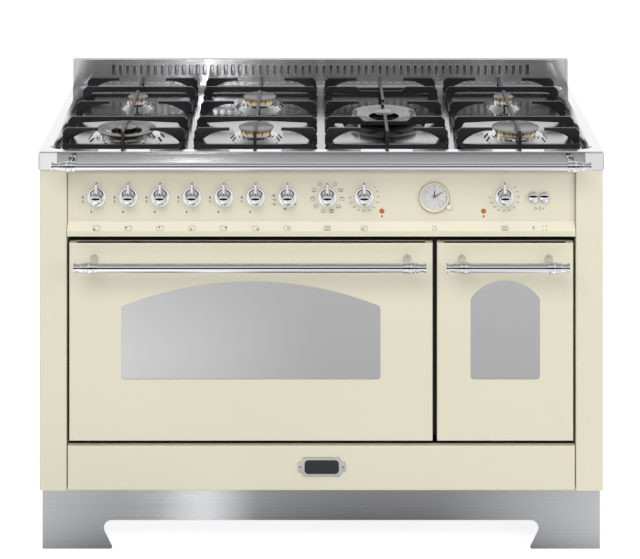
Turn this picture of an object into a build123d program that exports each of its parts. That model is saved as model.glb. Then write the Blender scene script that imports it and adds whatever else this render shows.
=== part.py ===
from build123d import *
import os

# Free-standing dual-fuel range cooker with two ovens, a storage drawer and a seven-burner hob.
# Millimetres, +Z up, front towards -Y. The origin is on the floor, under the middle of the overall box.
# Depths are counted backwards from the face of the hob apron.

# Upright stack, from the floor to the top of the backguard
PLINTH_HEIGHT = 131.5
DRAWER_HEIGHT = 94
DRAWER_GAP = 11
DOOR_HEIGHT = 419
FASCIA_GAP = 14.5
FASCIA_HEIGHT = 142
APRON_HEIGHT = 38
BACKGUARD_HEIGHT = 59

# Widths and depths
HOB_WIDTH = 1200
HOB_DEPTH = 600
HOB_OVERHANG = 3
PILLAR_WIDTH = 57.5
LARGE_DOOR_WIDTH = 770
DOOR_SIDE_GAP = 5.5
DOOR_MID_GAP = 9.5
DRAWER_SIDE_GAP = 2
SHEET = 1.5
REAR_RECESS = 28
REAR_FLANGE = 25
REAR_VENT_ROWS = 3
REAR_VENT_COUNT = 12
REAR_VENT_LENGTH = 46
REAR_VENT_WIDTH = 6
REAR_VENT_PITCH_X = 70
REAR_VENT_PITCH_Z = 22
REAR_VENT_DROP = 110
FOLD_RADIUS = 2.5

# Plinth and feet
PLINTH_SETBACK = 20
PLINTH_INSET = 4
LEG_WIDTH = 151
LEG_LEAN = 31
LEG_ARCH_HEIGHT = 61
LEG_ARCH_RADIUS = 17
LEG_TOE_RADIUS = 4
FOOT_INSET = 60
FOOT_RADIUS = 20
FOOT_HEIGHT = 10
FOOT_STUD_RADIUS = 5

# Doors
DOOR_THICKNESS = 42
SKIN_DEPTH = 20
SKIN_EDGE_RADIUS = 2.5
SEAL_GAP = 6
SEAL_PLAY = 0.5
SEAL_WIDTH = 10
SEAL_MARGIN = 4
LINER_INSET = 0.5
GLASS = 4
GLASS_LAP = 12
VENT_FRONT = 2.5
VENT_WIDTH = 16
VENT_END = 14
WINDOW_BOTTOM = 130.5
LARGE_WINDOW_WIDTH = 549
LARGE_WINDOW_SIDE = 155
LARGE_WINDOW_RISE = 53
SMALL_WINDOW_WIDTH = 147
SMALL_WINDOW_SIDE = 171
SMALL_WINDOW_RISE = 39
WINDOW_CORNER = 8
INNER_WINDOW_MARGIN = 16

# Door hinges
PIVOT_DEPTH = 18
PIVOT_RISE = 14
PIN_RADIUS = 4
PIN_PLAY = 0.05
ARM_THICKNESS = 5
ARM_RADIUS = 8
ARM_TAIL = 34
ARM_PLATE_HEIGHT = 34
ARM_PLATE_WIDTH = 30
CHEEK_THICKNESS = 5
CHEEK_TOP = 13
HINGE_PLAY = 1.5
HINGE_INSET = 55
ARM_SLOT_PLAY = 1

# Handles and hob rail
HANDLE_STANDOFF = 57
HANDLE_DROP = 33
HANDLE_RADIUS = 9.5
RING_RADIUS = 12
RING_LENGTH = 25
RING_BEAD = 5
RING_STEP = 0.9
POST_RADIUS = 6.5
POST_FOOT_RADIUS = 9.5
POST_FOOT_LENGTH = 5
POST_FOOT_TAPER = 30
FINIAL_LENGTH = 24
FINIAL_GROOVE = 2
FINIAL_RING = 4
FINIAL_STEP = 1.2
FINIAL_LIP = 2.5
LARGE_HANDLE_SPAN = 663
SMALL_HANDLE_SPAN = 184
RAIL_STANDOFF = 56
RAIL_DROP = 15
RAIL_RADIUS = 8.5
RAIL_SPAN = 1052

# Ovens
CAVITY_HEIGHT = 335
CAVITY_RISE = 55
CAVITY_DEPTH = 420
LARGE_CAVITY_WIDTH = 640
SMALL_CAVITY_WIDTH = 200
CAVITY_CORNER = 12
FRAME_SHEET = 2
FRAME_LIFT = 4
TAP_WINDOW_MARGIN = 18
INSULATION = 20
LEDGE_DEPTH = 9
LEDGE_HEIGHT = 5
LEDGE_LEVELS = (70, 140, 210, 280)
SHELF_LEVEL = 1
SHELF_PLAY = 3
SHELF_DEPTH = 360
SHELF_FRONT = 12
SHELF_ROD = 3
SHELF_WIRE = 2
SHELF_PITCH = 30
ELEMENT_RADIUS = 3.5
ELEMENT_DROP = 24
ELEMENT_BEND = 22
ELEMENT_MARGIN = 60

# Oven fan
FAN_RADIUS = 72
FAN_WIDTH = 18
FAN_BLADES = 10
FAN_BLADE_THICKNESS = 1.5
FAN_HUB_RADIUS = 12
FAN_WALL_GAP = 6
FAN_SHAFT_RADIUS = 4
FAN_COVER_SIZE = 230
FAN_COVER_DEPTH = 36
FAN_COVER_SLOTS = 12
FAN_COVER_SLOT_LENGTH = 45
FAN_COVER_SLOT_WIDTH = 8
FAN_COVER_SLOT_CIRCLE = 42
MOTOR_RADIUS = 34
MOTOR_LENGTH = 46
MOTOR_PLATE = 100
MOTOR_PLAY = 4

# Drawer
DRAWER_FRONT_DEPTH = 16
DRAWER_BOX_WIDTH = 1000
DRAWER_BOX_DEPTH = 470
DRAWER_BOX_HEIGHT = 66
DRAWER_LIFT = 8
RUNNER_WIDTH = 20
RUNNER_FLANGE = 24
RUNNER_PLAY = 0.5

# Control panel
FASCIA_RECESS = 14
FASCIA_LIP_RISE = 11
FASCIA_SLOPE_RISE = 17
FASCIA_DEPTH = 30
FASCIA_SIDE_GAP = 1
CONTROL_RISE = 80.5
GAS_KNOB_START = -476.7
GAS_KNOB_PITCH = 67.5
GAS_KNOB_COUNT = 7
FUNCTION_KNOB_X = 13
LARGE_KNOB_X = 91
SMALL_KNOB_X = 389
CLOCK_X = 240
BUTTON_XS = (450.2, 473.6)
LAMP_XS = (129, 345)
LAMP_DROP = 30
LAMP_RADIUS = 5.4
LAMP_PROUD = 3

# Knobs
KNOB_PLAY = 0.5
ROSETTE_RADIUS = 19.5
ROSETTE_THICKNESS = 3
ROSETTE_RIM = 1.5
BARREL_RADIUS = 11
BARREL_GROOVE = 1.2
KNOB_NOSE_RADIUS = 11.4
KNOB_LENGTH = 31
KNOB_DOME = 5
LEVER_REACH = 34
LEVER_ROOT_RADIUS = 4.2
LEVER_TIP_RADIUS = 3.3
LEVER_PROUD = 15
STEM_RADIUS = 3
STEM_PLAY = 0.05
STEM_LENGTH = 24
STEM_HOLE_RADIUS = 5

# Clock and push buttons
CLOCK_RADIUS = 33
CLOCK_BEZEL = 4
CLOCK_PROUD = 6
CLOCK_DEPTH = 26
CLOCK_WALL = 1.2
CLOCK_SPINDLE_RADIUS = 1.2
HAND_THICKNESS = 0.8
HAND_GAP = 0.6
HAND_HUB_RADIUS = 2.6
HOUR_HAND_LENGTH = 15
HOUR_HAND_WIDTH = 2.6
MINUTE_HAND_LENGTH = 20
MINUTE_HAND_WIDTH = 1.8
CLOCK_HOUR = 12
CLOCK_MINUTE = 10
SETTER_OFFSET = (30.5, -18.5)
SETTER_RADIUS = 4.5
SETTER_PROUD = 10
SETTER_STEM_RADIUS = 1.5
SETTER_STEM_LENGTH = 14
BUTTON_RADIUS = 10.3
BUTTON_PLAY = 0.15
BUTTON_PROUD = 8
BUTTON_DOME = 4
BUTTON_INSIDE = 12
BUTTON_TRAVEL = 3
SLEEVE_WALL = 1

# Gas train and switch gear
TAP_WIDTH = 26
TAP_HEIGHT = 28
TAP_DEPTH = 42
TAP_GAP = 6
GAS_RAIL_RADIUS = 8
GAS_RAIL_END = -505
GAS_RAIL_BEND = 30
INLET_RADIUS = 10.48
INLET_LENGTH = 18
PIPE_RADIUS = 4
PIPE_BEND = 10
PIPE_FIRST = 26
PIPE_PITCH = 12
PIPE_CLIMB = 26
SWITCH_SIZE = 44
SWITCH_DEPTH = 34
TERMINAL_WIDTH = 90
TERMINAL_HEIGHT = 60
TERMINAL_DEPTH = 24
TERMINAL_X = 400
TERMINAL_Z = 250
GLAND_RADIUS = 11
GLAND_BORE = 6.5

# Hob and burners
HOB_SHEET = 1.2
HOB_RIM = 20
HOB_REAR_LEDGE = 32
HOB_CORNER = 6
HOB_EDGE_RADIUS = 3
PAN_DROP = 12
PAN_SLOPE = 58
PAN_CORNER = 30
SEAT_RISE = 8
SEAT_SLOPE = 9.5
SEAT_MARGIN = 9
BURNER_FLANGE = 2
BURNER_FLANGE_HEIGHT = 2
BURNER_NECK = 4
BURNER_BASE = 4
BURNER_BASE_HEIGHT = 10
BURNER_PLAY = 1
BURNER_BODY_DROP = 34
CROWN_HEIGHT = 14
RING_CROWN_HEIGHT = 11
INNER_CROWN_HEIGHT = 15
CROWN_BORE = 5
CROWN_LIP = 1.5
CROWN_FOOT = 0.84
PORT_WIDTH = 2.4
PORT_HEIGHT = 4
PORT_DEPTH = 5
PORTS_PER_MM = 0.6
FLUTE_HEIGHT = 11
FLUTES_PER_MM = 0.3
CAP_HEIGHT = 4
CAP_EDGE = 1.5
CAP_BEVEL = 5
INNER_CAP_RADIUS = 22
RING_HOLE = 34
RING_CAP_HEIGHT = 3
RING_CAP_SHEET = 2
RING_WALL = 3
DISH_DROP = 5
SPARK_RADIUS = 2.6
SPARK_PLAY = 0.2
SPARK_GAP = 2
SPARK_HEIGHT = 10
SPARK_ANGLE = 225
FRONT_BURNER_DEPTH = 148
REAR_BURNER_DEPTH = 412
WOK_BURNER_DEPTH = 266
AUXILIARY_CAP = 23.5
SEMI_CAP = 38.3
RAPID_CAP = 51
TRIPLE_CAP = 64.8
WOK_CAP = 74.5

# Pan supports
GRATE_COUNT = 4
GRATE_PITCH = 284.5
GRATE_WIDTH = 264
GRATE_FRONT = 54
GRATE_REAR = 546
GRATE_BAR = 8
GRATE_FRAME_HEIGHT = 9
GRATE_FRAME_LIFT = 3
GRATE_CORNER = 18
GRATE_TOP = 27
FINGER_WIDTH = 6.5
FINGER_TIP = 6
FINGER_REACH = 76
FINGER_ROOT = 15
FINGER_KNEE = 36
FINGER_KNEE_DROP = 13
KNUCKLE_RADIUS = 6
KNUCKLE_HEIGHT = 14
BAR_ROOT = 22
FINGER_SHOULDER = 8
BAR_MIDDLE = 8
BAR_END = 14
DIP_WIDTH = 96
DIP_DROP = 10
DIP_SLOPE = 11
FINGER_ROWS = (90, 314, 529)
FRONT_BAR = 182
REAR_BAR = 446
WOK_CLEAR = 60

# Backguard
BACKGUARD_DEPTH = 20
BACKGUARD_SHEET = 1.2
BACKGUARD_HEM = 6
BACKGUARD_HEM_PROUD = 3
SLOT_COUNT = 60
SLOT_PITCH = 17
SLOT_WIDTH = 8.5
SLOT_HEIGHT = 25
SLOT_RISE = 34.4
FOOT_SLOT_COUNT = 54
FOOT_SLOT_PITCH = 20
FOOT_SLOT_LENGTH = 9
FOOT_SLOT_WIDTH = 2.5
FOOT_SLOT_RISE = 5

# Levels and places that follow from the stack
DRAWER_TOP = PLINTH_HEIGHT + DRAWER_HEIGHT
DOOR_BOTTOM = DRAWER_TOP + DRAWER_GAP
DOOR_TOP = DOOR_BOTTOM + DOOR_HEIGHT
FASCIA_BOTTOM = DOOR_TOP + FASCIA_GAP
FASCIA_TOP = FASCIA_BOTTOM + FASCIA_HEIGHT
HOB_TOP = FASCIA_TOP + APRON_HEIGHT
PAN_Z = HOB_TOP - PAN_DROP
SEAT_Z = PAN_Z + SEAT_RISE
CONTROL_Z = FASCIA_BOTTOM + CONTROL_RISE
RAIL_Z = HOB_TOP - RAIL_DROP
HANDLE_Z = DOOR_TOP - HANDLE_DROP
PIVOT_Z = DOOR_BOTTOM + PIVOT_RISE

RAIL_REACH = RAIL_STANDOFF + RING_RADIUS
HANDLE_REACH = HANDLE_STANDOFF + RING_RADIUS - HOB_OVERHANG
FRONT_REACH = max(RAIL_REACH, HANDLE_REACH)
APRON_Y = (FRONT_REACH - HOB_DEPTH) / 2


def behind(depth):
    """Y of a point at the given depth behind the face of the hob apron."""
    return APRON_Y + depth


def upright(depth):
    """Upright plane across the cooker at the given depth; positive extrusions come forwards."""
    return Plane.XZ.offset(-behind(depth))


FACE = HOB_OVERHANG
FRAME_FRONT = FACE + DOOR_THICKNESS + SEAL_GAP
FRAME_BACK = FRAME_FRONT + FRAME_SHEET
REAR_SKIN = HOB_DEPTH - REAR_RECESS
CAVITY_REAR = FRAME_BACK + CAVITY_DEPTH
PIVOT_Y = behind(FACE + PIVOT_DEPTH)

CABINET_WIDTH = HOB_WIDTH - 2 * HOB_OVERHANG
OPENING_WIDTH = CABINET_WIDTH - 2 * PILLAR_WIDTH
SMALL_DOOR_WIDTH = OPENING_WIDTH - 2 * DOOR_SIDE_GAP - DOOR_MID_GAP - LARGE_DOOR_WIDTH
LARGE_X = -OPENING_WIDTH / 2 + DOOR_SIDE_GAP + LARGE_DOOR_WIDTH / 2
SMALL_X = OPENING_WIDTH / 2 - DOOR_SIDE_GAP - SMALL_DOOR_WIDTH / 2
CAVITY_Z = DOOR_BOTTOM + CAVITY_RISE + CAVITY_HEIGHT / 2
CAVITIES = ((LARGE_X, LARGE_CAVITY_WIDTH), (SMALL_X, SMALL_CAVITY_WIDTH))

GAS_KNOB_XS = [GAS_KNOB_START + GAS_KNOB_PITCH * i for i in range(GAS_KNOB_COUNT)]
ELECTRIC_XS = (FUNCTION_KNOB_X, LARGE_KNOB_X, SMALL_KNOB_X)
FASCIA_BACK = FASCIA_RECESS + SHEET
GRATE_XS = [GRATE_PITCH * (i - (GRATE_COUNT - 1) / 2) for i in range(GRATE_COUNT)]

# One row for each burner: place across, depth, radius of the cap
BURNERS = (
    (GRATE_XS[0], FRONT_BURNER_DEPTH, TRIPLE_CAP),
    (GRATE_XS[0], REAR_BURNER_DEPTH, AUXILIARY_CAP),
    (GRATE_XS[1], REAR_BURNER_DEPTH, SEMI_CAP),
    (GRATE_XS[1], FRONT_BURNER_DEPTH, SEMI_CAP),
    (GRATE_XS[3], REAR_BURNER_DEPTH, AUXILIARY_CAP),
    (GRATE_XS[3], FRONT_BURNER_DEPTH, RAPID_CAP),
    (GRATE_XS[2], WOK_BURNER_DEPTH, WOK_CAP),
)
RING_CAPS = (TRIPLE_CAP, WOK_CAP)

os.makedirs("parts", exist_ok=True)


def save(piece, name):
    """Label a finished piece and write it as one STEP file."""
    piece.part.label = name
    export_step(piece.part, f"parts/{name}.step")


def save_group(pieces, name):
    """Write pieces that are fixed to each other as separate solids of one node."""
    group = Compound(label=name, children=[solid for piece in pieces for solid in piece.part.solids()])
    export_step(group, f"parts/{name}.step")


# Plinth: folded steel skirt, cut away between shaped legs on the front and both sides
def leg_arch(centre, length):
    """Cut the opening between the two legs of one plinth side from the current sketch."""
    toe = length / 2 - LEG_WIDTH
    neck = toe + LEG_LEAN
    Polygon(
        (centre - toe, 0),
        (centre + toe, 0),
        (centre + neck, LEG_ARCH_HEIGHT),
        (centre - neck, LEG_ARCH_HEIGHT),
        align=None,
        mode=Mode.SUBTRACT,
    )


PLINTH_WIDTH = CABINET_WIDTH - 2 * PLINTH_INSET
PLINTH_LENGTH = HOB_DEPTH - PLINTH_SETBACK - REAR_FLANGE
PLINTH_MIDDLE = behind(PLINTH_SETBACK + PLINTH_LENGTH / 2)

with BuildPart() as plinth:
    with BuildSketch(upright(PLINTH_SETBACK)) as skirt:
        with Locations((0, PLINTH_HEIGHT / 2)):
            Rectangle(PLINTH_WIDTH, PLINTH_HEIGHT)
        leg_arch(0, PLINTH_WIDTH)
        fillet(skirt.vertices().group_by(Axis.Y)[1], radius=LEG_ARCH_RADIUS)
        fillet(skirt.vertices().group_by(Axis.Y)[0].sort_by(Axis.X)[1:3], radius=LEG_TOE_RADIUS)
    extrude(amount=-SHEET)
    for side in (-1, 1):
        with BuildSketch(Plane.YZ.offset(side * PLINTH_WIDTH / 2)) as skirt:
            with Locations((PLINTH_MIDDLE, PLINTH_HEIGHT / 2)):
                Rectangle(PLINTH_LENGTH, PLINTH_HEIGHT)
            leg_arch(PLINTH_MIDDLE, PLINTH_LENGTH)
            fillet(skirt.vertices().group_by(Axis.Y)[1], radius=LEG_ARCH_RADIUS)
            fillet(skirt.vertices().group_by(Axis.Y)[0].sort_by(Axis.X)[1:3], radius=LEG_TOE_RADIUS)
        extrude(amount=-side * SHEET)
save(plinth, "plinth")

# Levelling feet: a pad and a threaded stud inside each leg
FOOT_X = PLINTH_WIDTH / 2 - FOOT_INSET
FOOT_YS = (behind(PLINTH_SETBACK + FOOT_INSET), behind(PLINTH_SETBACK + PLINTH_LENGTH - FOOT_INSET))
with BuildPart() as levelling_feet:
    with Locations([(x, y) for x in (-FOOT_X, FOOT_X) for y in FOOT_YS]):
        Cylinder(FOOT_RADIUS, FOOT_HEIGHT, align=(Align.CENTER, Align.CENTER, Align.MIN))
        Cylinder(FOOT_STUD_RADIUS, PLINTH_HEIGHT, align=(Align.CENTER, Align.CENTER, Align.MIN))
save(levelling_feet, "levelling_feet")

# Side panels: sheet folded round the pillar at the front and into a flange at the rear
with BuildPart() as side_panels:
    for side in (-1, 1):
        wall = side * (CABINET_WIDTH - SHEET) / 2
        cheek = side * (CABINET_WIDTH / 2 - PILLAR_WIDTH + SHEET / 2)
        flange = side * (CABINET_WIDTH / 2 - REAR_FLANGE)
        front = behind(FACE) + SHEET / 2
        rear = behind(HOB_DEPTH) - SHEET / 2
        with BuildSketch(Plane.XY.offset(PLINTH_HEIGHT)):
            with BuildLine():
                FilletPolyline(
                    (cheek, behind(FRAME_FRONT)),
                    (cheek, front),
                    (wall, front),
                    (wall, rear),
                    (flange, rear),
                    radius=FOLD_RADIUS,
                )
            trace(line_width=SHEET)
        extrude(amount=FASCIA_TOP - PLINTH_HEIGHT)
save(side_panels, "side_panels")

# Base tray: floor of the cabinet, notched round the pillars, with a runner rail pressed up on each side
INSIDE_WIDTH = CABINET_WIDTH - 2 * SHEET
DRAWER_BOX_Z = PLINTH_HEIGHT + DRAWER_LIFT
RUNNER_X = DRAWER_BOX_WIDTH / 2 + RUNNER_PLAY
RUNNER_FRONT = PLINTH_SETBACK + DRAWER_FRONT_DEPTH
with BuildPart() as base_tray:
    with BuildSketch(Plane.XY.offset(PLINTH_HEIGHT)):
        with Locations((0, behind((PLINTH_SETBACK + REAR_SKIN) / 2))):
            Rectangle(INSIDE_WIDTH, REAR_SKIN - PLINTH_SETBACK)
        with Locations(
            (-CABINET_WIDTH / 2, behind((FACE + FRAME_FRONT) / 2)),
            (CABINET_WIDTH / 2, behind((FACE + FRAME_FRONT) / 2)),
        ):
            Rectangle(2 * PILLAR_WIDTH, FRAME_FRONT - FACE, mode=Mode.SUBTRACT)
    extrude(amount=SHEET)
    for side in (-1, 1):
        with Locations((side * (RUNNER_X - RUNNER_WIDTH / 2), behind(RUNNER_FRONT), PLINTH_HEIGHT)):
            Box(
                RUNNER_WIDTH,
                DRAWER_BOX_DEPTH,
                DRAWER_LIFT - RUNNER_PLAY,
                align=(Align.CENTER, Align.MIN, Align.MIN),
            )
        with Locations((side * (RUNNER_X + SHEET / 2), behind(RUNNER_FRONT), PLINTH_HEIGHT)):
            Box(
                SHEET,
                DRAWER_BOX_DEPTH,
                RUNNER_FLANGE,
                align=(Align.CENTER, Align.MIN, Align.MIN),
            )
save(base_tray, "base_tray")

# Rear panel: carries the hob, set in so that the gas and mains inlets stay inside the depth
REAR_TOP = HOB_TOP - HOB_SHEET
GAS_RAIL_Z = CONTROL_Z - TAP_HEIGHT / 2 - GAS_RAIL_RADIUS
with BuildPart() as rear_panel:
    with BuildSketch(upright(REAR_SKIN)):
        with Locations((0, (PLINTH_HEIGHT + REAR_TOP) / 2)):
            Rectangle(INSIDE_WIDTH, REAR_TOP - PLINTH_HEIGHT)
        with Locations((0, REAR_TOP - REAR_VENT_DROP)):
            with GridLocations(REAR_VENT_PITCH_X, REAR_VENT_PITCH_Z, REAR_VENT_COUNT, REAR_VENT_ROWS):
                SlotOverall(REAR_VENT_LENGTH, REAR_VENT_WIDTH, mode=Mode.SUBTRACT)
        with Locations((GAS_RAIL_END, GAS_RAIL_Z)):
            Circle(GAS_RAIL_RADIUS, mode=Mode.SUBTRACT)
    extrude(amount=-SHEET)
save(rear_panel, "rear_panel")

# Front frame: dark plate behind the doors with a mouth for each oven and a window for the gas taps
FRAME_BOTTOM = DRAWER_TOP + FRAME_LIFT
FRAME_TOP = PAN_Z - HOB_SHEET
HINGE_XS = [
    centre + side * (width / 2 - HINGE_INSET)
    for centre, width in ((LARGE_X, LARGE_DOOR_WIDTH), (SMALL_X, SMALL_DOOR_WIDTH))
    for side in (-1, 1)
]
with BuildPart() as front_frame:
    with BuildSketch(upright(FRAME_FRONT)):
        with Locations((0, (FRAME_BOTTOM + FRAME_TOP) / 2)):
            Rectangle(INSIDE_WIDTH, FRAME_TOP - FRAME_BOTTOM)
        for centre, width in CAVITIES:
            with Locations((centre, CAVITY_Z)):
                RectangleRounded(width, CAVITY_HEIGHT, CAVITY_CORNER, mode=Mode.SUBTRACT)
        with Locations((0, (FASCIA_BOTTOM + FASCIA_TOP) / 2)):
            Rectangle(
                OPENING_WIDTH - TAP_WINDOW_MARGIN,
                FASCIA_HEIGHT - TAP_WINDOW_MARGIN,
                mode=Mode.SUBTRACT,
            )
        with Locations([(x, PIVOT_Z) for x in HINGE_XS]):
            Rectangle(
                ARM_THICKNESS + 2 * ARM_SLOT_PLAY,
                2 * (ARM_RADIUS + ARM_SLOT_PLAY),
                mode=Mode.SUBTRACT,
            )
    extrude(amount=-FRAME_SHEET)
save(front_frame, "front_frame")

# Oven liners: enamelled boxes open at the front, with pressed ledges that carry the shelves
FAN_Z = CAVITY_Z
for (centre, width), name in zip(CAVITIES, ("large_oven_liner", "small_oven_liner")):
    with BuildPart() as oven_liner:
        with BuildSketch(upright(FRAME_BACK)):
            with Locations((centre, CAVITY_Z)):
                RectangleRounded(width, CAVITY_HEIGHT, CAVITY_CORNER)
        extrude(amount=-CAVITY_DEPTH)
        mouth = oven_liner.faces().sort_by(Axis.Y)[0]
        offset(amount=SHEET, openings=mouth, kind=Kind.INTERSECTION)
        with Locations(
            [
                (centre + side * (width - LEDGE_DEPTH) / 2, behind(FRAME_BACK + CAVITY_DEPTH / 2), z)
                for side in (-1, 1)
                for z in [CAVITY_Z - CAVITY_HEIGHT / 2 + level for level in LEDGE_LEVELS]
            ]
        ):
            Box(LEDGE_DEPTH, CAVITY_DEPTH - 2 * CAVITY_CORNER, LEDGE_HEIGHT)
        if name == "large_oven_liner":
            with BuildSketch(upright(CAVITY_REAR)):
                with Locations((centre, FAN_Z)):
                    Circle(FAN_SHAFT_RADIUS + FAN_WALL_GAP)
            extrude(amount=-SHEET, mode=Mode.SUBTRACT)
    save(oven_liner, name)

# Insulation: a wool jacket round each liner, open at the front and behind the fan motor
with BuildPart() as insulation:
    for centre, width in CAVITIES:
        with BuildSketch(upright(FRAME_BACK)):
            with Locations((centre, CAVITY_Z)):
                Rectangle(width + 2 * (SHEET + INSULATION), CAVITY_HEIGHT + 2 * (SHEET + INSULATION))
        extrude(amount=-(CAVITY_DEPTH + SHEET + INSULATION))
        with BuildSketch(upright(FRAME_BACK)):
            with Locations((centre, CAVITY_Z)):
                RectangleRounded(width + 2 * SHEET, CAVITY_HEIGHT + 2 * SHEET, CAVITY_CORNER + SHEET)
        extrude(amount=-(CAVITY_DEPTH + SHEET), mode=Mode.SUBTRACT)
    with BuildSketch(upright(CAVITY_REAR)):
        with Locations((LARGE_X, FAN_Z)):
            Rectangle(MOTOR_PLATE + MOTOR_PLAY, MOTOR_PLATE + MOTOR_PLAY)
    extrude(amount=-(SHEET + INSULATION), mode=Mode.SUBTRACT)
save(insulation, "insulation")

# Door gaskets: a braided seal round each oven mouth
with BuildPart() as door_gaskets:
    for centre, width in CAVITIES:
        with BuildSketch(upright(FRAME_FRONT)):
            with Locations((centre, CAVITY_Z)):
                RectangleRounded(
                    width + 2 * (SEAL_MARGIN + SEAL_WIDTH),
                    CAVITY_HEIGHT + 2 * (SEAL_MARGIN + SEAL_WIDTH),
                    CAVITY_CORNER + SEAL_MARGIN + SEAL_WIDTH,
                )
                RectangleRounded(
                    width + 2 * SEAL_MARGIN,
                    CAVITY_HEIGHT + 2 * SEAL_MARGIN,
                    CAVITY_CORNER + SEAL_MARGIN,
                    mode=Mode.SUBTRACT,
                )
        extrude(amount=SEAL_GAP - SEAL_PLAY)
save(door_gaskets, "door_gaskets")

# Oven shelves: wire grids resting on the ledges
SHELF_Z = CAVITY_Z - CAVITY_HEIGHT / 2 + LEDGE_LEVELS[SHELF_LEVEL] + LEDGE_HEIGHT / 2 + SHELF_ROD
SHELF_Y = behind(FRAME_BACK + SHELF_FRONT + SHELF_DEPTH / 2)
with BuildPart() as oven_shelves:
    for centre, width in CAVITIES:
        span = width - 2 * SHELF_PLAY
        wires = int((span - 2 * SHELF_ROD) // SHELF_PITCH)
        with Locations((centre, SHELF_Y, SHELF_Z)):
            with GridLocations(span - 2 * SHELF_ROD, 1, 2, 1):
                Cylinder(SHELF_ROD, SHELF_DEPTH, rotation=(90, 0, 0))
            with GridLocations(1, SHELF_DEPTH - 2 * SHELF_ROD, 1, 2):
                Cylinder(SHELF_ROD, span - SHELF_ROD, rotation=(0, 90, 0))
            with Locations((0, 0, SHELF_ROD - SHELF_WIRE / 2)):
                with GridLocations(SHELF_PITCH, 1, wires, 1):
                    Cylinder(SHELF_WIRE, SHELF_DEPTH - 2 * SHELF_ROD, rotation=(90, 0, 0))
save(oven_shelves, "oven_shelves")

# Grill elements: bent tubes under each oven roof, held in the rear wall
ELEMENT_Z = CAVITY_Z + CAVITY_HEIGHT / 2 - ELEMENT_DROP
with BuildPart() as grill_elements:
    for centre, width in CAVITIES:
        outer = width / 2 - ELEMENT_BEND
        inner = outer / 3
        rear = behind(CAVITY_REAR)
        front = behind(FRAME_BACK + ELEMENT_MARGIN)
        turn = behind(CAVITY_REAR - ELEMENT_MARGIN)
        with BuildLine():
            tube = FilletPolyline(
                (centre - outer, rear, ELEMENT_Z),
                (centre - outer, front, ELEMENT_Z),
                (centre - inner, front, ELEMENT_Z),
                (centre - inner, turn, ELEMENT_Z),
                (centre + inner, turn, ELEMENT_Z),
                (centre + inner, front, ELEMENT_Z),
                (centre + outer, front, ELEMENT_Z),
                (centre + outer, rear, ELEMENT_Z),
                radius=ELEMENT_BEND,
            )
        with BuildSketch(Plane(origin=tube @ 0, z_dir=tube % 0)):
            Circle(ELEMENT_RADIUS)
        sweep()
save(grill_elements, "grill_elements")

# Oven fan: bladed rotor on a shaft that runs back into the motor
FAN_FRONT = CAVITY_REAR - FAN_WALL_GAP - FAN_WIDTH
FAN_SHAFT_LENGTH = FAN_WIDTH + FAN_WALL_GAP + SHEET + INSULATION
with BuildPart() as oven_fan:
    with BuildSketch(upright(FAN_FRONT + FAN_WIDTH)):
        with Locations((LARGE_X, FAN_Z)):
            Circle(FAN_RADIUS)
    extrude(amount=FAN_BLADE_THICKNESS)
    with BuildSketch(upright(FAN_FRONT)):
        with Locations((LARGE_X, FAN_Z)):
            Circle(FAN_HUB_RADIUS)
            with PolarLocations((FAN_RADIUS + FAN_HUB_RADIUS) / 2, FAN_BLADES):
                Rectangle(FAN_RADIUS - FAN_HUB_RADIUS + FAN_BLADE_THICKNESS, FAN_BLADE_THICKNESS)
    extrude(amount=-FAN_WIDTH)
    with BuildSketch(upright(FAN_FRONT)):
        with Locations((LARGE_X, FAN_Z)):
            Circle(FAN_SHAFT_RADIUS)
    extrude(amount=-FAN_SHAFT_LENGTH)
save(oven_fan, "oven_fan")

# Fan cover: pressed tray on the rear wall, with a ring of air slots
with BuildPart() as fan_cover:
    with BuildSketch(upright(CAVITY_REAR)):
        with Locations((LARGE_X, FAN_Z)):
            RectangleRounded(FAN_COVER_SIZE, FAN_COVER_SIZE, CAVITY_CORNER)
    extrude(amount=FAN_COVER_DEPTH)
    offset(amount=-SHEET, openings=fan_cover.faces().sort_by(Axis.Y)[-1], kind=Kind.INTERSECTION)
    with BuildSketch(upright(CAVITY_REAR - FAN_COVER_DEPTH)):
        with Locations((LARGE_X, FAN_Z)):
            with PolarLocations(FAN_COVER_SLOT_CIRCLE, FAN_COVER_SLOTS):
                SlotOverall(FAN_COVER_SLOT_LENGTH, FAN_COVER_SLOT_WIDTH)
    extrude(amount=-SHEET, mode=Mode.SUBTRACT)
save(fan_cover, "fan_cover")

# Fan motor: bolted by its plate to the back of the large liner
with BuildPart() as fan_motor:
    with BuildSketch(upright(CAVITY_REAR + SHEET)):
        with Locations((LARGE_X, FAN_Z)):
            Rectangle(MOTOR_PLATE, MOTOR_PLATE)
    extrude(amount=-FRAME_SHEET)
    with BuildSketch(upright(CAVITY_REAR + SHEET)):
        with Locations((LARGE_X, FAN_Z)):
            Circle(MOTOR_RADIUS)
    extrude(amount=-MOTOR_LENGTH)
    with BuildSketch(upright(CAVITY_REAR + SHEET)):
        with Locations((LARGE_X, FAN_Z)):
            Circle(FAN_SHAFT_RADIUS + STEM_PLAY)
    extrude(amount=-(INSULATION + STEM_RADIUS), mode=Mode.SUBTRACT)
save(fan_motor, "fan_motor")

# Doors: enamelled skin, two panes, liner with hinge cheeks, and a tubular handle
DOOR_MIDDLE_Z = DOOR_BOTTOM + DOOR_HEIGHT / 2
NOTCH_REACH = ARM_RADIUS + HINGE_PLAY
DOORS = (
    ("large_door", LARGE_X, LARGE_DOOR_WIDTH, LARGE_WINDOW_WIDTH, LARGE_WINDOW_SIDE, LARGE_WINDOW_RISE),
    ("small_door", SMALL_X, SMALL_DOOR_WIDTH, SMALL_WINDOW_WIDTH, SMALL_WINDOW_SIDE, SMALL_WINDOW_RISE),
)


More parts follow.
